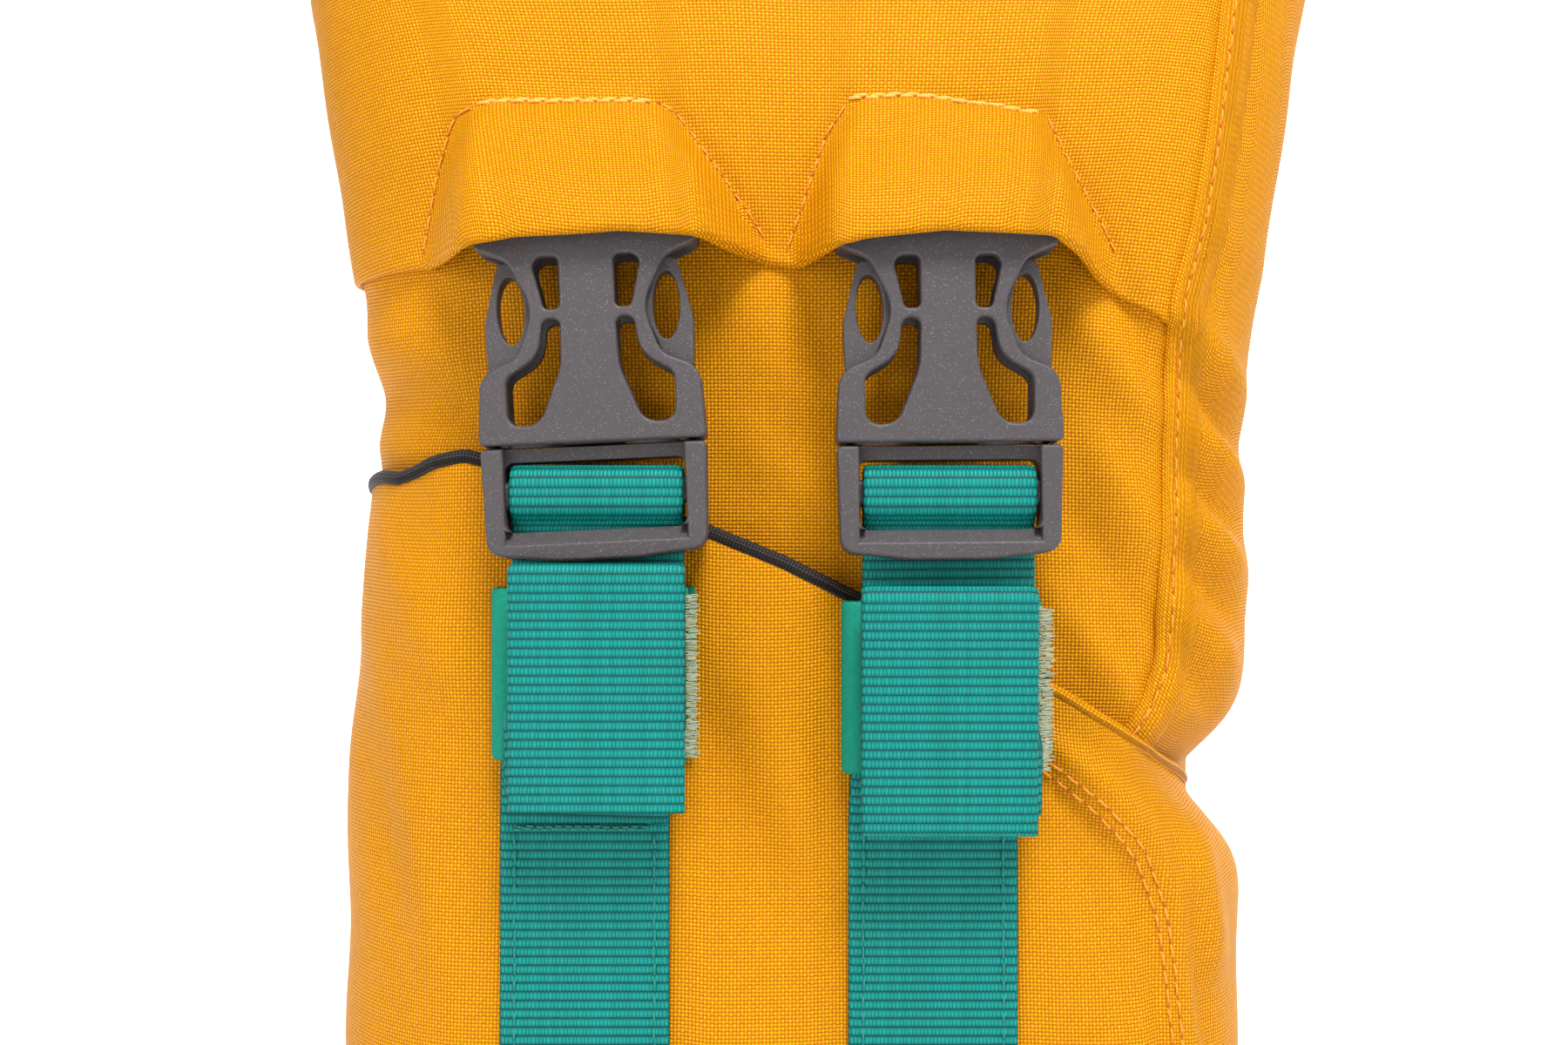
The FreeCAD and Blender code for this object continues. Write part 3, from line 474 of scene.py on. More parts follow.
def plain_noise(name, dark, light, scale, depth, roughness, **constants):
    """A moulded or smooth surface with a fine grain."""
    nodes = Nodes(name)
    grain = nodes.noise(scale, 4.0, 0.65)
    colour = nodes.mix(grain, (*dark, 1), (*light, 1))
    return nodes.finish(colour, grain, depth, roughness, 0.5, **constants)


def speckled(name):
    """Charcoal acetal with a fine sparkling speckle and a moulded grain."""
    nodes = Nodes(name)
    cells = nodes.add("ShaderNodeTexVoronoi", nodes.place(), None, 6500.0).node.outputs
    pick = nodes.add("ShaderNodeSeparateColor", cells["Color"])
    spark = nodes.math("GREATER_THAN", pick, 0.93)
    spark = nodes.math("MULTIPLY", spark, nodes.math("LESS_THAN", cells["Distance"], 0.40))
    grain = nodes.noise(2600.0, 3.0, 0.7)
    soft = nodes.noise(90.0, 3.0)
    base = nodes.mix(grain, (0.033, 0.028, 0.030, 1), (0.073, 0.062, 0.066, 1))
    base = nodes.mix(nodes.math("MULTIPLY", soft, 0.35), base, (0.085, 0.074, 0.078, 1))
    colour = nodes.mix(nodes.math("MULTIPLY", spark, 0.55), base, (0.34, 0.33, 0.36, 1))
    rough = nodes.math("MULTIPLY_ADD", grain, 0.2, 0.42)
    return nodes.finish(colour, grain, 0.00005, rough, 0.6, Specular_IOR_Level=0.45)


def webbing_material(name, dark, light, bead=0.56):
    """Yarns of ribbed webbing: beads across each rib, offset from rib to rib, with the dark colour
    as painted shade in the valleys between ribs and beads.
    """
    nodes = Nodes(name)
    u, v = nodes.thread()
    rib = nodes.math("FLOOR", nodes.math("MULTIPLY", v, 1.0 / (RIB * MM)))
    shifted = nodes.math("MULTIPLY_ADD", nodes.math("FLOORED_MODULO", rib, 2.0), 0.5,
                         nodes.math("MULTIPLY", u, 1.0 / (bead * MM)))
    round_bead = nodes.math("SINE", nodes.math("MULTIPLY", nodes.math("FRACT", shifted), math.pi))
    within = nodes.math("FRACT", nodes.math("MULTIPLY", v, 1.0 / (RIB * MM)))
    hump = nodes.math("SINE", nodes.math("MULTIPLY", within, math.pi))
    height = nodes.math("MULTIPLY", nodes.math("POWER", hump, 0.6),
                        nodes.math("MULTIPLY_ADD", round_bead, 0.55, 0.45))
    yarn = nodes.random_of(nodes.math("FLOOR", shifted))
    tone = nodes.math("MULTIPLY", nodes.math("MULTIPLY_ADD", yarn, 0.16, 0.92),
                      nodes.math("MULTIPLY_ADD", nodes.noise(60.0, 3.0), 0.2, 0.9))
    # painted shade: the dark colour fills the valleys between ribs and beads, the light colour the
    # crests
    colour = nodes.mix(height, (*dark, 1), (*light, 1))
    colour = nodes.shaded(colour, tone)
    rough = nodes.math("MULTIPLY_ADD", height, -0.16, 0.6)
    return nodes.finish(colour, height, 0.00018, rough, 0.9, Specular_IOR_Level=0.18)


# The first, darker colour of each fabric is painted shade in the weave's valleys.
YELLOW = fabric("shell_cloth", (0.58, 0.145, 0.0004), (0.89, 0.43, 0.0025), 0.56)
# The first, darker colour of the webbing is painted shade in the valleys between its ribs.
TEAL = webbing_material("ribbed_webbing", (0.0, 0.030, 0.030), (0.0025, 0.275, 0.243))
PLASTIC = speckled("speckled_acetal")
BINDING = fabric("binding_braid", (0.016, 0.013, 0.012), (0.075, 0.062, 0.058), 0.5)
LOOP_TAPE = plain_noise("loop_pile", (0.001, 0.15, 0.10), (0.01, 0.30, 0.20), 1500.0, 0.00012, 0.8,
                        Specular_IOR_Level=0.2)
HOOK_TAPE = plain_noise("hook_tape", (0.25, 0.29, 0.17), (0.52, 0.55, 0.38), 1800.0, 0.0001, 0.5)
SEAM_TAPE = plain_noise("bonded_tape", (0.50, 0.50, 0.48), (0.66, 0.66, 0.63), 300.0, 0.00003, 0.35)
THREAD, SEAM_THREAD, TEAL_THREAD = (
    plain_noise(name, dark, light, 2400.0, 0.00005, roughness) for name, dark, light, roughness in [
        ("yellow_thread", (0.85, 0.30, 0.02), (1.0, 0.50, 0.09), 0.45),
        ("seam_thread", (0.62, 0.18, 0.006), (0.90, 0.38, 0.03), 0.5),
        ("teal_thread", (0.002, 0.13, 0.10), (0.012, 0.27, 0.21), 0.5)])
# dark brown of the needle holes: painted shade
HOLE_SHADE = plain_noise("needle_hole", (0.40, 0.08, 0.001), (0.55, 0.13, 0.002), 900.0, 0.00002, 0.9)
STRIP = plain_noise("strip_plastic", (0.020, 0.020, 0.022), (0.035, 0.035, 0.038), 500.0, 0.00003,
                    0.4)


# The tube --------------------------------------------------------------------------------------

SEAM_LINE = [(70.0, 250), (64.6, 224), (61.3, 202), (59.3, 191), (56.0, 179), (55.3, 158),
             (55.1, 145), (54.0, 124), (50.5, 112), (50.0, 60), (50.0, 4)]


SIDE_FOLDS = [
    ((57, 176), (72, 163), 2.6, 1.9), ((57, 168), (73, 154), 2.3, -2.1),
    ((57, 161), (73, 148), 2.4, 2.2), ((56, 154), (72, 141), 2.2, -2.1),
    ((56, 148), (71, 135), 2.5, 2.3), ((55, 141), (70, 128), 2.3, -1.9),
    ((54, 134), (68, 121), 2.6, 1.9), ((54, 126), (66, 114), 2.4, -1.5),
    ((60, 192), (75, 184), 3.6, 1.0)]
FRONT_FOLDS = [
    ((-74, 176), (-48, 170), 4.5, 1.3), ((-72, 166), (-50, 160), 3.6, -1.2),
    ((-72, 158), (-50, 155), 3.2, 0.9), ((-9, 183), (0, 160), 5.0, 1.6),
    ((-2, 180), (5, 150), 4.0, -1.2), ((-12, 160), (4, 146), 4.0, 0.9),
    ((38, 180), (52, 160), 3.4, 1.5), ((46, 182), (53, 166), 2.6, -1.4),
    ((42, 158), (53, 140), 3.2, 1.3), ((38, 148), (52, 128), 3.2, -1.2),
    ((34, 136), (52, 116), 3.4, 1.2), ((44, 130), (54, 116), 2.6, -1.0),
    ((-24, 258), (-12, 224), 14.0, 0.5), ((34, 256), (22, 226), 14.0, 0.45),
    ((-92, 286), (-62, 252), 4.5, 1.5), ((-70, 290), (-48, 256), 5.0, -1.2),
    ((-40, 292), (-30, 262), 4.0, 0.9), ((91, 284), (60, 250), 4.5, 1.5),
    ((68, 290), (46, 258), 4.6, -1.2), ((30, 292), (20, 268), 4.0, 0.9)]
BACK_FOLDS = [
    ((-92, 284), (-58, 236), 5.0, 1.8), ((-74, 290), (-46, 248), 4.5, -1.5),
    ((-52, 292), (-34, 258), 4.5, 1.1), ((90, 284), (56, 232), 5.0, 1.8),
    ((72, 290), (44, 250), 4.5, -1.5), ((44, 292), (30, 262), 4.5, 1.1),
    ((-60, 150), (-30, 128), 7.0, 1.0), ((62, 128), (34, 104), 7.0, 1.0),
    ((-62, 74), (-30, 60), 8.0, 0.8), ((60, 52), (28, 44), 8.0, 0.7),
    ((-66, 206), (-44, 184), 5.0, 1.1), ((66, 200), (42, 182), 5.0, -1.0)]


def body_shift(height):
    """How far right of its straps the stuffed body leans."""
    return 1.7 * smooth(92.0, 122.0, height) * (1 - smooth(255.0, 285.0, height))


def tube_folds(p):
    """Folds of the tube, outwards in millimetres."""
    x, y, z = p[..., 0], p[..., 1], p[..., 2]
    seam = np.array(SEAM_LINE)[::-1]
    off_seam = x - np.interp(z, seam[:, 1], seam[:, 0])
    front, back = smooth(5.0, -15.0, y), smooth(-5.0, 15.0, y)
    right = smooth(46.0, 58.0, x) * smooth(25.0, 0.0, y)
    lift = 0.8 * billow(p, 80.0, 3) + 0.25 * billow(p, 30.0, 5)
    lift -= 0.9 * np.exp(-((off_seam + 1.2) / 1.6) ** 2) * front * smooth(108.0, 120.0, z)
    lift += folds(p, SIDE_FOLDS) * right * (1 - 0.8 * smooth(63.0, 71.0, x))
    lift += folds(p, FRONT_FOLDS) * front + folds(p, BACK_FOLDS) * back
    # drawn in under the pocket's right end, and tucked behind the pocket
    beside = smooth(44.0, 62.0, x) * smooth(18.0, -8.0, y)
    lift -= 10.0 * np.exp(-((z - 102.0) / 9.5) ** 2) * beside
    tucked = 2.4 * smooth(5.0, -8.0, y) + 2.2 * smooth(-18.0, -30.0, y)
    lift -= tucked * beside * (1 - smooth(94.0, 104.0, z)) * smooth(14.0, 34.0, z)
    neck = smooth(232.0, 262.0, z) * (1 - smooth(286.0, 300.0, z))
    return lift + neck * 0.4 * np.sin(x * 0.11 + 0.6) * np.clip(-y / 3.0, -1, 1)


def stuffed(grid, normal):
    """The section points of a grid pushed out to the stuffed, folded surface of the bag."""
    fade = smooth(2.0, 12.0, grid[..., 2]) * (1 - 0.8 * smooth(270.0, 288.0, grid[..., 2]))
    crown = 1.6 * np.cos(np.clip(grid[..., 0] / 62.0, -1, 1) * math.pi / 2) ** 2
    crown *= np.abs(normal[..., 1]) * (1 - smooth(235.0, 275.0, grid[..., 2]))
    out = grid + normal * ((tube_folds(grid) + crown) * fade)[..., None]
    out[..., 0] += body_shift(grid[..., 2])
    return out


def build_tube():
    """The stuffed tube and its pressed neck, up to the roll."""
    middle = lengths_along(outline(*section(TUBE, 140.0)))

    def ring_at(height):
        """A section whose points lie as far round it as those of the middle of the bag."""
        ring = outline(*section(TUBE, height))
        known = lengths_along(ring)
        return points_at(ring, known / known[-1], middle / middle[-1])

    rows = []
    for height in np.r_[np.linspace(2, 14, 8), np.arange(15.5, NECK_LOW, 1.5), NECK_LOW]:
        ring = ring_at(height)
        rows.append(np.c_[ring, np.full(len(ring), height)])
    grid = np.array(rows)
    normal = grid_normals(grid)
    normal[:, 0] = normal[:, -1] = (0, 1, 0)
    grid = stuffed(grid, normal)
    neck = []
    for share in np.linspace(0.08, 1.0, 14):
        x, y = ring_at(NECK_LOW + NECK_RISE * share).T
        arc = ROLL_CENTRE - np.sqrt((ROLL_BEND + 5.0) ** 2 - np.clip(x, -97, 97) ** 2)
        ripple = 0.35 * np.sin(x * 0.21) * math.sin(math.pi * share)
        neck.append(np.c_[x, y + ripple, NECK_LOW + (arc - NECK_LOW) * share])
    grid = np.concatenate([grid, np.array(neck)])
    tube = shell("bag_tube", grid, grid_uv(grid), 0.8, YELLOW, round_trip=True)
    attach(tube, "bag")
    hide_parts("front_panel", "back_panel", "collar_neck")
    return tube


def build_base():
    """The base panel, a little slack inside its seam, and the piping that the seam turns round."""
    ring = outline(*section(TUBE, 2.0))
    rows = []
    for share in np.linspace(1.0, 0.002, 26):
        sag = 1.1 * smooth(1.0, 0.8, share) + 0.25 * math.sin(share * 9.0) * smooth(1.0, 0.9, share)
        rows.append(np.c_[ring * share, np.full(len(ring), 0.25 + sag)])
    grid = np.array(rows)
    base = shell("bag_base", grid, grid[..., :2], -0.7, YELLOW, round_trip=True)
    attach(base, "bag")
    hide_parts("base_panel")
    loop = outline(*(section(TUBE, 2.0) + 0.4))[:-1]
    cord("base_piping", np.c_[loop, np.full(len(loop), 1.6)], (1.5, 1.5), BINDING,
         closed=True)


def cord(name, path, radii, material, closed=False, sides=10):
    """A cord-like solid of elliptic section along a path of points."""
    count = len(path)
    if closed:
        tangent = unit(np.roll(path, -1, 0) - np.roll(path, 1, 0))
    else:
        tangent = unit(np.gradient(path, axis=0))
    side = unit(np.cross(tangent, (0.0, 0.0, 1.0)))
    high = np.cross(side, tangent)
    turn = np.arange(sides) * 2 * math.pi / sides
    rings = (path[:, None] + side[:, None] * (radii[0] * np.cos(turn))[None, :, None]
             + high[:, None] * (radii[1] * np.sin(turn))[None, :, None])
    faces = []
    for r in range(count if closed else count - 1):
        s = (r + 1) % count
        for k in range(sides):
            m = (k + 1) % sides
            faces.append((r * sides + k, s * sides + k, s * sides + m, r * sides + m))
    if not closed:
        faces.append(tuple(range(sides)))
        faces.append(tuple((count - 1) * sides + k for k in reversed(range(sides))))
    uv = np.stack(np.meshgrid(turn * max(radii), lengths_along(path)), axis=-1)
    piece = mesh_object(name, rings.reshape(-1, 3), faces, uv.reshape(-1, 2), material)
    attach(piece, "bag")
    return piece


# The rolled collar -----------------------------------------------------------------------------

def build_roll():
    """The collar wound round its stiffening strip, swept along the bent roll."""
    turns, per_turn, start, end, flat = 2.6, 72, 1.7, 7.0, 8.0
    numbers = np.arange(int(turns * per_turn) + 1)
    angle = 2 * math.pi * numbers / per_turn
    wound = start + (end - start) * numbers / (turns * per_turn)
    out = wound * np.cos(angle) + flat * np.clip(3.0 * np.cos(angle), -1, 1)
    up = wound * np.sin(angle)
    rows = []
    for angle in np.linspace(-ROLL_HALF, ROLL_HALF, 90):
        turn = math.radians(angle)
        sag = 1 + 0.018 * math.sin(angle * 0.35)
        radius = ROLL_BEND - up * sag
        rows.append(np.c_[radius * math.sin(turn), out, ROLL_CENTRE - radius * math.cos(turn)])
    grid = np.array(rows).transpose(1, 0, 2)
    roll = shell("collar_wound", grid, grid_uv(grid), 0.9, YELLOW)
    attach(roll, "bag")
    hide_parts("collar_roll")


# The pocket ------------------------------------------------------------------------------------

MOUTH = [(-90, 154.0), (-67.3, 151.5), (-59.1, 153.6), (-51.4, 154.6), (-46.0, 153.2), (-30, 148.6),
         (-14.0, 143.2), (-2.7, 138.7), (6.9, 134.0), (22, 127.3), (37.7, 120.5), (46.5, 116.4),
         (54.0, 113.6), (62.0, 110.8), (69.0, 107.6), (75.5, 104.6), (90, 103.5)]
GUSSET_SEAM = [(33.0, 110.5), (36.6, 108.6), (43.9, 103.0), (50.0, 96.2), (53.6, 87.1),
               (55.2, 76.6), (56.4, 66.0), (56.8, 50), (56.8, 30), (56.0, 12), (54.5, 4)]


POCKET_FOLDS = [
    ((-66, 146), (-50, 118), 5.0, 1.2), ((-8, 128), (2, 96), 6.0, 1.6),
    ((-13, 116), (-3, 84), 4.5, -1.4), ((4, 118), (4, 88), 3.5, -0.8),
    ((38, 112), (50, 94), 3.6, 1.6), ((42, 100), (49, 72), 4.2, -1.2),
    ((60, 98), (64, 76), 3.0, 1.8), ((59, 88), (62, 62), 2.4, -1.1),
    ((-72, 124), (-62, 84), 4.0, -1.1), ((-60, 104), (-52, 70), 4.5, 0.9)]


def sewn_x(side):
    """Middle of a strap where it is sewn down."""
    return STRAPS[side][0] - STRAP_ASIDE


def distance_to(route, p):
    """Distance of points from a route of (x, z), positive on the right of it or above it."""
    best = np.full(p.shape[:-1], 1e9)
    side = np.zeros(p.shape[:-1])
    flat = p[..., (0, 2)]
    for a, b in zip(route, route[1:]):
        a, b = np.array(a, float), np.array(b, float)
        t = np.clip((flat - a) @ (b - a) / ((b - a) @ (b - a)), 0, 1)
        off = flat - (a + t[..., None] * (b - a))
        far = np.linalg.norm(off, axis=-1)
        cross = (b - a)[0] * off[..., 1] - (b - a)[1] * off[..., 0]
        side = np.where(far < best, np.sign(cross), side)
        best = np.minimum(best, far)
    return best * side


def climb(table, keep, low, top, shares):
    """A grid over some points of a table's outlines, each from its low height to its top one."""
    grid = np.zeros((len(shares), len(keep), 3))
    for row, share in enumerate(shares):
        for column, index in enumerate(keep):
            high = low[column] + (top[column] - low[column]) * share
            grid[row, column] = np.r_[outline(*section(table, high))[index], high]
    return grid


def build_pocket():
    """The pocket's panel and gusset in one sheet, with the gusset's ridge seam."""
    columns = outline(*section(POCKET, 60.0))
    keep = np.flatnonzero(columns[:, 1] < -8.0)
    mid = columns[keep]
    top = np.interp(mid[:, 0], *np.transpose(MOUTH)) - 0.14 * np.maximum(0.0, mid[:, 1] + 34.0)
    grid = climb(POCKET, keep, np.full(len(keep), 2.2), top,
                 np.r_[np.linspace(0, 0.08, 6), np.linspace(0.1, 1.0, 92)])
    z, side = grid[..., 2], np.abs(grid[..., 0])
    below = top[None, :] - z
    # drawn in at both sides, most of all at the mouth, and sewn down to the tube along its back
    left = curve([(0, 1.6), (64, 1.4), (92, 0.9), (120, 1.6), (138, 3.2), (152, 4.6)], z)
    right = 4.0 + 9.2 * np.exp(-(below / 9.0) ** 2)
    draw = np.where(grid[..., 0] < 0, -left * smooth(50, 66, side), right * smooth(36, 75, side))
    grid[..., 0] -= draw * smooth(2.0, 20.0, z)
    hold = smooth(-17.0, -9.0, grid[..., 1])
    heights = np.linspace(2, 160, 80)
    edge = np.interp(z, heights, [section(TUBE, height)[0] for height in heights])
    edge -= np.where(grid[..., 0] > 0, 2.6 + 10.5 * np.exp(-below / 8.0), 0.0)
    grid[..., 0] += hold * (np.sign(grid[..., 0]) * (edge + 0.6) + body_shift(z) - grid[..., 0])
    normal = grid_normals(grid)
    off = distance_to(GUSSET_SEAM, grid)
    front = smooth(-10.0, -30.0, grid[..., 1])
    lift = 1.1 * np.exp(-((off - 3.2) / 1.6) ** 2) - 0.9 * np.exp(-((off + 2.6) / 1.8) ** 2)
    lift = lift * front + 0.8 * billow(grid, 70.0, 11) + 0.25 * billow(grid, 26.0, 12)
    lift += folds(grid, POCKET_FOLDS)
    from_strap = np.min([np.abs(grid[..., 0] - sewn_x(name)) for name in STRAPS], axis=0)
    under_strap = 1 - smooth(13.0, 19.0, from_strap)
    lift = lift * (1 - under_strap) - 0.15 * under_strap
    lift *= smooth(2.0, 14.0, z) * (1 - hold)
    grid = grid + normal * lift[..., None]
    gape = folds(grid, [((-14, 139), (8, 134), 9.0, 0.9), ((40, 118), (52, 110), 8.0, 1.2)])
    grid[..., 1] -= smooth(16.0, 0.0, below) * gape
    pocket = shell("pocket_front", grid, grid_uv(grid), 0.8, YELLOW)
    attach(pocket, "bag")
    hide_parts("pocket_panel", "pocket_gusset")
    edge = grid[-1]
    bound = edge[edge[:, 0] < 37.0] + np.array([0, 0.35, 0.3])
    cord("pocket_edge_binding", bound, (0.8, 1.15), BINDING)
    curl = edge[edge[:, 0] > 35.0] + np.array([0, 0.7, -0.2])
    rolled = cord("pocket_edge_roll", curl, (1.0, 1.0), YELLOW)
    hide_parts("pocket_binding")
    return pocket


# The cover -------------------------------------------------------------------------------------

TRAPEZOIDS = {
    "left": [(-57.6, 186.2), (-55.1, 198.3), (-52.8, 206.1), (-48.9, 208.4), (-21.6, 208.4),
             (-19.0, 206.8), (-11.8, 197.0), (-4.7, 186.0)],
    "right": [(-2.1, 185.8), (-0.1, 191.8), (3.2, 202.2), (7.1, 209.0), (18.1, 209.4),
              (37.0, 206.5), (39.6, 200.3), (43.5, 192.5), (47.6, 184.6)],
}
HEM = [(-90, 185.0), (-75, 184.5), (-57, 184.6), (-46, 186.8), (-30, 187.8), (-16, 186.8),
       (-3, 183.8), (8, 186.6), (20, 187.8), (36, 187.0), (43, 184.8), (51, 179.6), (62, 174.5)]
COVER_TOP = 238.0
# height, and how far the cover's tents stand out from the tube's front there
COVER_OUT = [(170, 17.2), (186, 17.1), (190, 16.4), (194.5, 14.2), (198, 11.1), (202, 7.6),
             (206, 5.0), (210, 3.6), (216, 2.4)]
TENT_FOLDS = [((-30, 204), (-32, 187), 8.0, -0.6), ((10, 203), (5, 189), 4.0, -0.8)]
CORNER_FOLDS = [((36, 200), (43, 187), 3.0, -0.8), ((-46, 205), (-54, 190), 3.0, -0.6)]


def cover_share(x, height):
    """How much of the tents over the two buckles' tops there is at (x, height), 0 to 1."""
    share = np.zeros(np.shape(x))
    for side, (middle, lean) in STRAPS.items():
        route = np.array(TRAPEZOIDS[side])
        half = len(route) // 2
        left = np.interp(height, route[:half, 1], route[:half, 0])
        right = np.interp(height, route[half:, 1][::-1], route[half:, 0][::-1])
        top = middle - (height - MOUTH_HIGH) * math.sin(math.radians(lean))
        part = smooth(0, 1, (x - left) / np.maximum(top - 15.5 - left, 4.5))
        part = part * smooth(0, 1, (right - x) / np.maximum(right - top - 15.5, 4.5))
        share = np.maximum(share, part)
    return share * (1 - smooth(204.0, 212.0, height))


def build_cover():
    """The doubled cover strip with its folded hem, tented over the two anchor tabs."""
    columns = outline(*section(TUBE, 200.0))
    keep = np.flatnonzero((columns[:, 1] < 4.0) & (columns[:, 0] < 62.5))
    low = np.interp(columns[keep, 0], *np.transpose(HEM))
    grid = climb(TUBE, keep, low, np.full(len(keep), COVER_TOP),
                 np.r_[np.linspace(0, 0.1, 7), np.linspace(0.12, 1, 44)])
    base = grid_normals(grid)
    grid = stuffed(grid, base)
    normal = unit(base * (1.0, 1.0, 0.3))
    x, z = grid[..., 0], grid[..., 2]
    share = cover_share(x, z)
    stand = 0.9 + 0.5 * smooth(200.0, 186.0, z) - 0.5 * smooth(228.0, 237.0, z)
    grid = grid + normal * stand[..., None]
    tent = BODY_FRONT + curve(COVER_OUT, z) + 0.3 * billow(grid, 26.0, 21) + folds(grid, TENT_FOLDS)
    grid[..., 1] += share * (-tent - grid[..., 1])
    grid[..., 1] += folds(grid, CORNER_FOLDS)
    for route in TRAPEZOIDS.values():
        off = distance_to(route, grid)
        grid[..., 1] += 0.5 * np.exp(-(off / 0.9) ** 2)
    # the hem is folded round under its edge and up behind
    first, out = grid[0], grid_normals(grid)[0]
    down = np.array([0, 0, 0.95])
    fold = [first - out * 0.85 * (1 + math.cos(turn)) - down * math.sin(turn)
            for turn in np.radians(np.linspace(20, 165, 9))]
    inner = [first + (grid[10] - first) * up * 0.8 - out * 1.7 for up in np.linspace(1, 0.1, 8)]
    grid = np.concatenate([np.array(inner), np.array(fold), grid])
    uv = grid_uv(grid)
    uv[..., 1] -= uv[-1, :, 1]
    cover = shell("cover_strip", grid, uv, 0.7, YELLOW)
    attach(cover, "bag")
    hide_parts("front_cover")
    return cover


# Webbing ---------------------------------------------------------------------------------------

def turtle(start, heading, moves, step=RIB / 6):
    """Points of a path from lengths and (radius, angle) turns, spaced by step."""
    a, b = start
    pieces = []
    for move in moves:
        if isinstance(move, tuple):
            radius, angle = move
            side = 1 if angle > 0 else -1
            turn = math.radians(heading)
            ca, cb = a - side * radius * math.sin(turn), b + side * radius * math.cos(turn)
            count = max(4, int(radius * math.radians(abs(angle)) / step))
            at = np.radians(heading + np.linspace(0, angle, count + 1) - 90 * side)
            points = np.c_[ca + radius * np.cos(at), cb + radius * np.sin(at)]
            heading += angle
        else:
            turn = math.radians(heading)
            count = max(2, int(move / step))
            ahead = np.array([math.cos(turn), math.sin(turn)])
            points = np.array([a, b]) + np.linspace(0, move, count + 1)[:, None] * ahead
        pieces.append(points[:-1])
        a, b = points[-1]
    pieces.append(np.array([[a, b]]))
    return np.vstack(pieces)


def webbing(name, centre, across, body, wide=WEB_WIDE, thick=WEB_THICK, rib_high=0.34,
            material=TEAL):
    """Ribbed webbing along a centre line. across is the unit vector of its width."""
    known = lengths_along(centre)
    even = np.linspace(0, known[-1], int(known[-1] / (RIB / 6)) + 1)
    centre = points_at(centre, known, even)
    tangent = unit(np.gradient(centre, axis=0))
    across = np.broadcast_to(np.array(across, float), centre.shape)
    across = unit(across - tangent * np.sum(across * tangent, axis=1, keepdims=True))
    normal = np.cross(tangent, across)
    # the ribs of one face lie between those of the other
    crest, other = (np.abs(np.sin(math.pi * (even / RIB + late))) ** 0.55 for late in (0, 0.5))
    half = wide / 2
    # section: share of the half width, and the face: 1 front, 0 edge, -1 back
    spread = np.r_[-1.0, -0.985, -0.95, np.linspace(-0.9, 0.9, 11), 0.95, 0.985, 1.0]
    profile = ([(s, 1) for s in spread[1:-1]] + [(1.0, 0)]
               + [(s, -1) for s in spread[-2:0:-1]] + [(-1.0, 0)])
    rings = np.zeros((len(centre), len(profile), 3))
    uv = np.zeros((len(centre), len(profile), 2))
    for k, (share, face) in enumerate(profile):
        edge = abs(share)
        fat = 1.0 if edge < 0.94 else (0.85 if edge < 0.96 else 0.6)
        swell = rib_high * ((crest if face >= 0 else other) - 0.75) * (1.0 if edge < 0.96 else 0.4)
        reach = half * share + np.sign(share) * 0.12 * (crest - 0.5) * (edge > 0.94)
        depth = face * (thick / 2 * fat + swell)
        rings[:, k] = centre + across * reach[:, None] + normal * depth[:, None]
        uv[:, k, 0] = half * share + (40.0 if face < 0 else 0.0)
        uv[:, k, 1] = even + (RIB / 2 if face < 0 else 0.0)
    piece = mesh_object(name, rings.reshape(-1, 3), sleeve(len(centre), len(profile)),
                        uv.reshape(-1, 2), material)
    if body:
        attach(piece, body)
    return piece


def side_on(points, x):
    """Points of a path of (outwards, up) as points in space, at one x or at an x each."""
    return np.c_[np.broadcast_to(x, len(points)), -points[:, 0], points[:, 1]]


def loose_x(side):
    """Middle of the loose strap."""
    middle, lean = STRAPS[side]
    return middle + 8.5 * math.sin(math.radians(lean))


def front_out(tree, x, height):
    """How far out a surface stands across a strap's width."""
    hits = [on_front(tree, x + aside, height)[0] for aside in (-12, -6, 0, 6, 12)]
    return max([0.0] + [-hit.y for hit in hits if hit is not None])


def build_strap(side, pocket_tree):
    """One front strap in one length: sewn up the pocket, over the frame's bar, and folded away."""
    x, down_x = loose_x(side), sewn_x(side)
    heights = np.linspace(3.0, STRAP_TOP, 40)
    outs = np.array([front_out(pocket_tree, down_x, z) for z in heights])
    outs = np.convolve(np.pad(outs, 3, mode="edge"), np.ones(7) / 7, mode="valid") + 0.25 + 0.6
    sewn = np.c_[outs, heights]
    bend, tilt = 10.0, math.radians(16.0)
    level = BUCKLE_OUT + 0.4 - PLUG_LOOP
    start_out = 49.4
    rise = (level - start_out - 2 * bend * (1 - math.cos(tilt))) / math.sin(tilt)
    climbed = 2 * bend * math.sin(tilt) + rise * math.cos(tilt)
    over_bar = MOUTH_HIGH - PLUG_BAR
    moves = [(bend, -16.0), rise, (bend, 16.0), over_bar - STRAP_TOP - 0.4 - climbed,
             (PLUG_LOOP, -180.0), 2.4, (2.0, -60.0), 0.89, (2.0, 60.0), 36.3 + TAIL_DROP[side],
             (1.9, 176.0), 29.8, (1.15, -178.0), 33.6]
    loose = turtle((start_out, STRAP_TOP + 0.4), 90.0, moves)
    shift = smooth(STRAP_TOP - 2, 138.0, loose[:, 1])
    first = np.argmax(loose[:, 1] > over_bar)
    xs = np.full(len(loose), x)
    xs[:first] = down_x + (x - down_x) * shift[:first]
    # the tail's folds lie a little askew
    askew = 0.9 if side == "left" else -0.8
    settle = smooth(0, 220, np.arange(len(loose)) - first - 60)
    xs += askew * settle * np.where(loose[:, 0] > 57.5, 0.6, -0.7)
    path = np.vstack([side_on(sewn, down_x), side_on(loose, xs)])
    piece = webbing(f"{side}_strap", path, (1, 0, 0), None)
    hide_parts(f"{side}_strap_sewn", f"{side}_strap_free")
    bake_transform(piece)


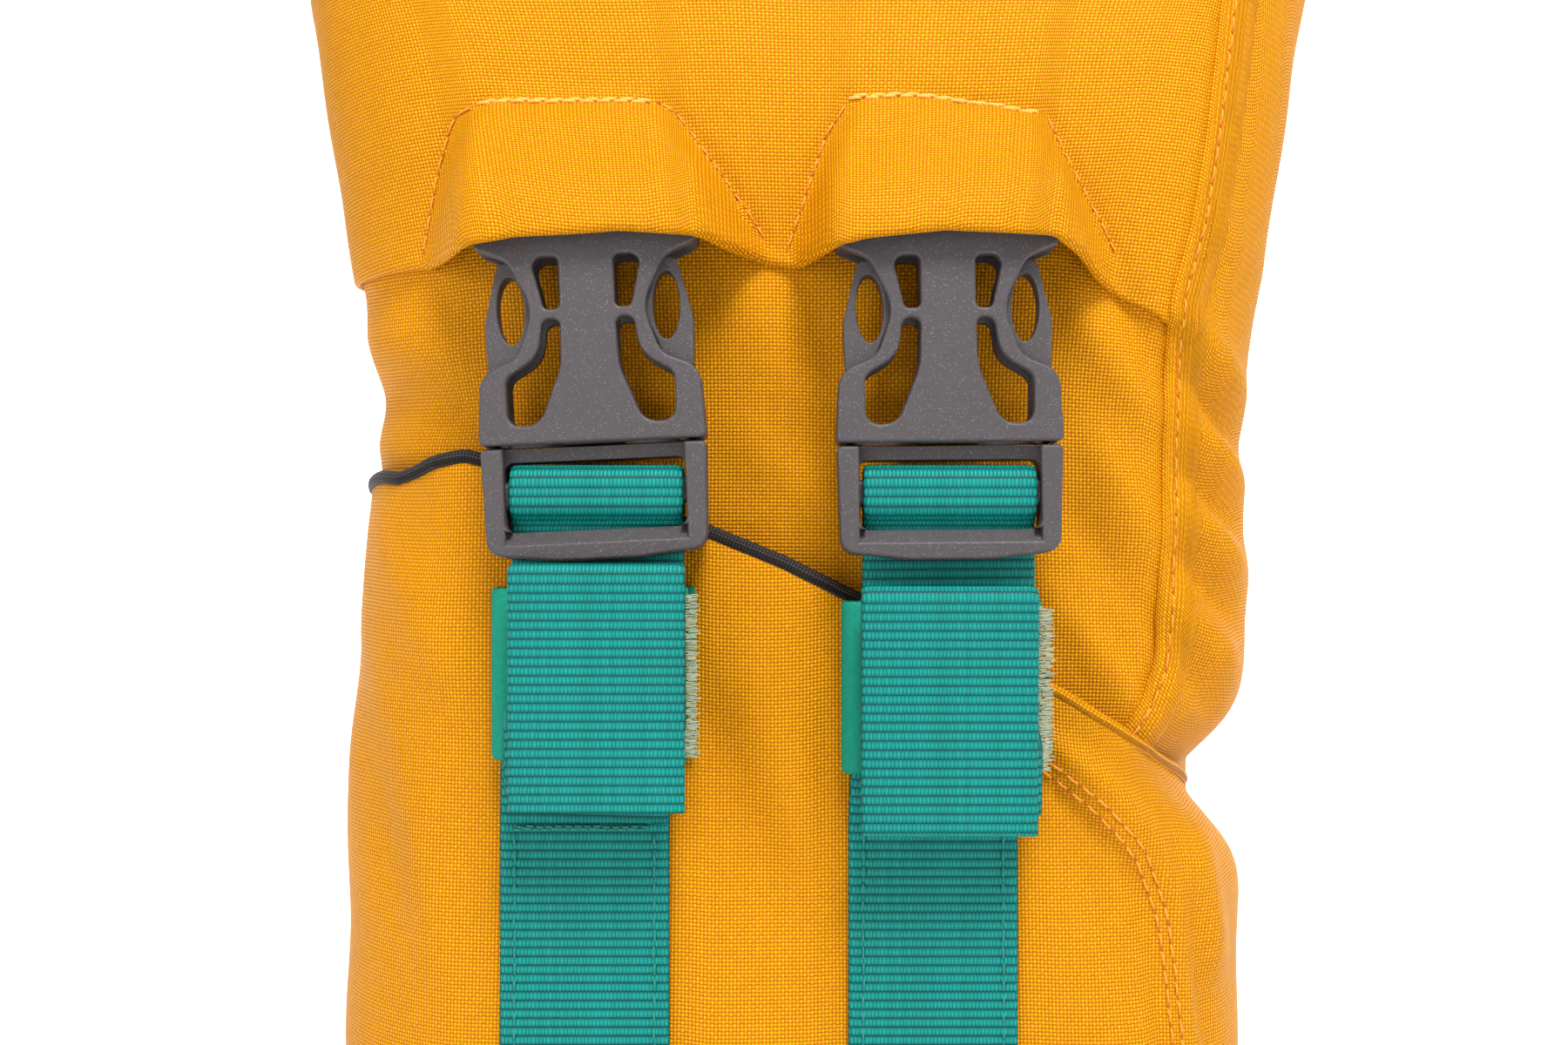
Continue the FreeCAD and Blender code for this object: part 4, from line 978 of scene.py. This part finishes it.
BOX_FACES = [(0, 1, 3, 2), (4, 6, 7, 5), (0, 4, 5, 1), (2, 3, 7, 6), (0, 2, 6, 4), (1, 5, 7, 3)]
HOOKS = 520


def build_keeper(side):
    """Loop tape round the strap's left edge, and hook tape whose fringe shows at the right edge."""
    x, low, high = loose_x(side), KEEPER_LOW[side], KEEPER_LOW[side] + 25.0
    plan = turtle((14.0, 49.6), 180.0, [26.8, (2.425, -180.0), 26.0], step=0.8)
    centre = np.c_[plan[:, 0] + x, -plan[:, 1], np.full(len(plan), (low + high) / 2)]
    piece = webbing(f"{side}_keeper_tape", centre, (0, 0, 1), f"{side}_strap_end", wide=high - low,
                    thick=0.85, rib_high=0.0, material=LOOP_TAPE)
    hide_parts(f"{side}_keeper_loop")
    points, faces = [], []

    def add_box(corner, size):
        """A box from its lowest corner and its three sizes."""
        start = len(points)
        points.extend(tuple(c + s * far for c, s, far in zip(corner, size, ends))
                      for ends in itertools.product((0, 1), repeat=3))
        faces.extend(tuple(start + i for i in face) for face in BOX_FACES)

    # a ground of narrow strips with ragged ends, and short bristles along the strap's right edge
    left, right, front = x - 11.0, x + 13.2, -56.1
    steps, tall = 34, high - low - 1.2
    for number in range(steps):
        z0 = low + 0.6 + tall * number / steps
        ragged = random.uniform(-0.35, 0.5)
        add_box((left, front + 0.15, z0), (right - left + ragged, 0.45, tall / steps * 0.98))
    for _ in range(HOOKS):
        hx = right - abs(random.gauss(0, 0.9)) + 0.6
        hz = random.uniform(low + 0.6, high - 0.9)
        add_box((hx, front - random.uniform(0.0, 0.25), hz),
                (random.uniform(0.5, 1.4), random.uniform(0.4, 0.9), random.uniform(0.10, 0.18)))
    hook = mesh_object(f"{side}_keeper_hooks", points, faces, [(p[0], p[2]) for p in points],
                       HOOK_TAPE, smooth_shading=False)
    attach(hook, f"{side}_strap_end")
    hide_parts(f"{side}_keeper_hook")


def build_anchor_tab(side):
    """The webbing loop that holds one socket."""
    middle, lean = STRAPS[side]
    out = BUCKLE_OUT - PIVOT_UP * math.sin(math.radians(TIP_BACK))
    loop = SOCKET_LOOP
    first, second = out - loop - 48.65, out + loop - 53.15
    moves = [7.0, (6.0, 30.0), 4.24 + first / 0.643, (6.0, -40.0), 4.9 - first * 1.19,
             (loop, 180.0), 0.5, (7.0, 55.0), 2.84 + second / 0.819, (7.0, -45.0), 7.5]
    path = turtle((42.0, 214.0), -80.0, moves)
    sewn = path[:, 1] < 205.5
    path = path[np.argmax(sewn):len(path) - np.argmax(sewn[::-1])]
    cover_in = BODY_FRONT + curve(COVER_OUT, path[:, 1]) - 1.9
    path[:, 0] = np.minimum(path[:, 0], cover_in - 2.6 * smooth(192.0, 205.0, path[:, 1]))
    tilt = math.radians(lean)
    pivot = MOUTH_HIGH + PIVOT_UP
    x = middle - PIVOT_UP * math.sin(tilt) - (path[:, 1] - pivot) * math.sin(tilt)
    centre = np.c_[x, -path[:, 0], pivot + (path[:, 1] - pivot) * math.cos(tilt)]
    piece = webbing(f"{side}_tab", centre, (math.cos(tilt), 0, math.sin(tilt)), "bag")
    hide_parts(f"{side}_anchor_tab")


def build_handle(side, bar_x, ending, body, node):
    """One half of the closure strap."""
    slant, radius, settle = 15.0, 20.0, 24.0
    turn, tilt = math.radians(ROLL_HALF), math.radians(slant)
    start = (ROLL_BEND * math.sin(turn) + math.cos(turn),
             ROLL_CENTRE - ROLL_BEND * math.cos(turn) + math.sin(turn))
    leave_x = start[0] - radius * math.sin(turn) + radius * math.sin(tilt)
    leave_z = start[1] + radius * math.cos(turn) + radius * math.cos(tilt)
    level = CLOSURE_HIGH - ending[0][0]
    run = (level - settle * (1 - math.cos(tilt)) - leave_z) / math.sin(tilt)
    reach = leave_x - run * math.cos(tilt) - settle * math.sin(tilt)
    moves = [(radius, 180.0 - slant - ROLL_HALF), run, (settle, slant), reach - bar_x] + ending
    path = turtle(start, ROLL_HALF, moves)
    centre = np.c_[path[:, 0] * side, np.zeros(len(path)), path[:, 1]]
    piece = webbing(node + "_web", centre, (0, 1, 0), body)
    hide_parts(node)


def build_ring_tab():
    """The webbing loop of the back ring."""
    ring_wire, back = 1.8, 42.9
    loop = ring_wire + 0.35 + WEB_THICK / 2
    near = back + 0.3 + WEB_THICK / 2
    meet = (2 * loop - 1.35 - 10 * (1 - math.cos(math.radians(30)))) * 2
    moves = [18.0, (loop, -180.0), (5.0, -30.0), meet, (5.0, 30.0), 7.0]
    path = turtle((-near, 186.0), -90.0, moves)
    piece = webbing("ring_tab_web", side_on(path, 0.0), (1, 0, 0), "bag", wide=24.0)
    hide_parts("d_ring_tab")


# Build -----------------------------------------------------------------------------------------

tube = build_tube()
build_base()
build_roll()
pocket = build_pocket()
cover = build_cover()
pocket_tree, cover_tree, tube_tree = tree_of(pocket), tree_of(cover), tree_of(tube)
for side in STRAPS:
    build_strap(side, pocket_tree)
    build_keeper(side)
    build_anchor_tab(side)
build_handle(1, CLOSURE_X + PIVOT_UP,
             [(SOCKET_LOOP, -180.0), 0.5, (6.0, -25.0), 4.8, (6.0, 25.0), 6.0],
             "handle_right", "closure_socket_tab")
build_handle(-1, PLUG_BAR - CLOSURE_X,
             [(PLUG_LOOP, -180.0), 2.3, (2.0, -60.0), 1.27, (2.0, 60.0), 13.7],
             "handle_left", "closure_plug_tab")
build_ring_tab()

seam_edge = [(x - 0.2, z) for x, z in SEAM_LINE[:8]] + [(51.6, 118.0), (48.6, 113.5), (44.5, 109.5)]
seam_lap = lap("side_seam_lap", tree_of(tube, cover), seam_edge,
               [(-0.1, -0.3), (0.0, 0.55), (0.25, 0.95), (1.2, 0.9), (2.6, 0.55), (4.0, 0.8),
                (5.4, 0.7), (6.4, 0.2), (7.0, -0.3)], YELLOW)
tape = lap("side_seam_bond", tube_tree, [(65.0, 250), (62.0, 215), (57.0, 190), (54.0, 165),
                                         (52.0, 120), (48.0, 100), (50.0, 60), (50.0, 16)],
           [(away, -1.2) for away in (-9.0, -4.5, 0.0, 4.5, 9.0)], SEAM_TAPE)
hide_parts("side_seam_tape")
CLOTH_SEAM = (SEAM_THREAD, "shell_fabric")
sew("side_seam_stitch", tree_of(seam_lap), [(x + 2.4, z) for x, z in seam_edge], *CLOTH_SEAM,
    radius=0.17)
for side, route in TRAPEZOIDS.items():
    half = len(route) // 2
    end = half + 1 if side == "left" else half + 2
    sew(f"{side}_tab_stitch_a", cover_tree, route[:half], *CLOTH_SEAM, radius=0.17)
    sew(f"{side}_tab_stitch_top", cover_tree, route[half - 1:end], THREAD, "shell_fabric", 2.6, 0.9,
        0.3, double=True)
    sew(f"{side}_tab_stitch_b", cover_tree, route[end - 1:], *CLOTH_SEAM, radius=0.17)
route = [(x, COVER_TOP - 2.6) for x in (-70.0, 58.0)]
sew("cover_top_stitch", cover_tree, route, *CLOTH_SEAM, radius=0.18)
for number, shift in enumerate((-0.9, 0.9)):
    route = [(x + shift * 0.8, z + shift * 0.55) for x, z in GUSSET_SEAM]
    sew(f"gusset_stitch_{number}", pocket_tree, route, *CLOTH_SEAM, 2.9, radius=0.19)
for side in STRAPS:
    strap_tree = tree_of(bpy.data.objects[f"{side}_strap"])
    left, right = sewn_x(side) - STITCH_ASIDE, sewn_x(side) + STITCH_ASIDE
    for name, x in (("l", left), ("r", right)):
        route = [(x, 6.0), (x, STRAP_TOP - 0.5)]
        sew(f"{side}_strap_stitch_{name}", strap_tree, route, TEAL_THREAD, "webbing", 2.4, 0.75,
            0.17, holes=False)
    route = [(left, STRAP_TOP - 1.0), (right, STRAP_TOP - 1.0)]
    sew(f"{side}_strap_bartack", strap_tree, route, TEAL_THREAD, "webbing", 1.4, 0.95, 0.22,
        double=True, holes=False)

for name, node in frame["nodes"].items():
    socket = "socket" in name and "tab" not in name
    material = None
    if socket or "plug_frame" in name or "_arm_" in name or name == "d_ring":
        material = PLASTIC
    elif "seam_tape" in name:
        material = SEAM_TAPE
    elif name == "closure_stiffener":
        material = STRIP
    if material:
        for place in node.material_slots:
            place.material = material


# Stage, light and camera -----------------------------------------------------------------------

def backdrop():
    """A pale floor that curves up into a wall."""
    bend, start, half_wide = 700, 900, 4000
    turns = [math.radians(angle) for angle in range(0, 91, 6)]
    profile = [(-3000, 0)]
    profile += [(start + bend * math.sin(turn), bend - bend * math.cos(turn)) for turn in turns]
    profile += [(start + bend, 3000)]
    points, faces = [], []
    for y, z in profile:
        points += [(-half_wide, y, z - 0.05), (half_wide, y, z - 0.05)]
    for k in range(len(profile) - 1):
        faces.append((2 * k, 2 * k + 1, 2 * k + 3, 2 * k + 2))
    paper = plain_noise("backdrop_paper", (0.86,) * 3, (0.90,) * 3, 30.0, 0.00001, 0.9)
    piece = mesh_object("backdrop", points, faces, [(0, 0)] * len(points), paper)


def area_light(name, place, target, size, power):
    """A square soft light aimed at a point, in metres."""
    data = bpy.data.lights.new(name, "AREA")
    data.shape, data.size, data.energy = "SQUARE", size, power
    lamp = bpy.data.objects.new(name, data)
    lamp.location = place
    lamp.rotation_euler = (Vector(target) - Vector(place)).to_track_quat("-Z", "Y").to_euler()
    bpy.context.scene.collection.objects.link(lamp)


backdrop()
BAG_MIDDLE = (0, 0, 0.15)
area_light("key", (0.2, -0.75, 1.25), BAG_MIDDLE, 0.5, 22.5)
area_light("fill", (-0.9, -1.0, 0.45), BAG_MIDDLE, 0.8, 6.6)
area_light("side", (1.1, -0.5, 0.5), BAG_MIDDLE, 0.6, 3.2)
area_light("wall", (0.0, 0.5, 1.3), (0, 2.6, 0.3), 1.2, 62.0)
world = bpy.data.worlds.new("studio")
world.use_nodes = True
sky = world.node_tree.nodes["Background"]
sky.inputs["Color"].default_value = (1, 1, 1, 1)
sky.inputs["Strength"].default_value = 0.36
bpy.context.scene.world = world
bpy.context.scene.view_settings.view_transform = "Standard"

lens = bpy.data.cameras.new("camera")
lens.sensor_width, lens.lens = 36.0, 41.6
lens.clip_start = 0.01
camera = bpy.data.objects.new("camera", lens)
camera.location = (-0.0027, -0.317, 0.145)
camera.rotation_euler = (math.pi / 2, 0, 0)
bpy.context.scene.collection.objects.link(camera)
bpy.context.scene.camera = camera
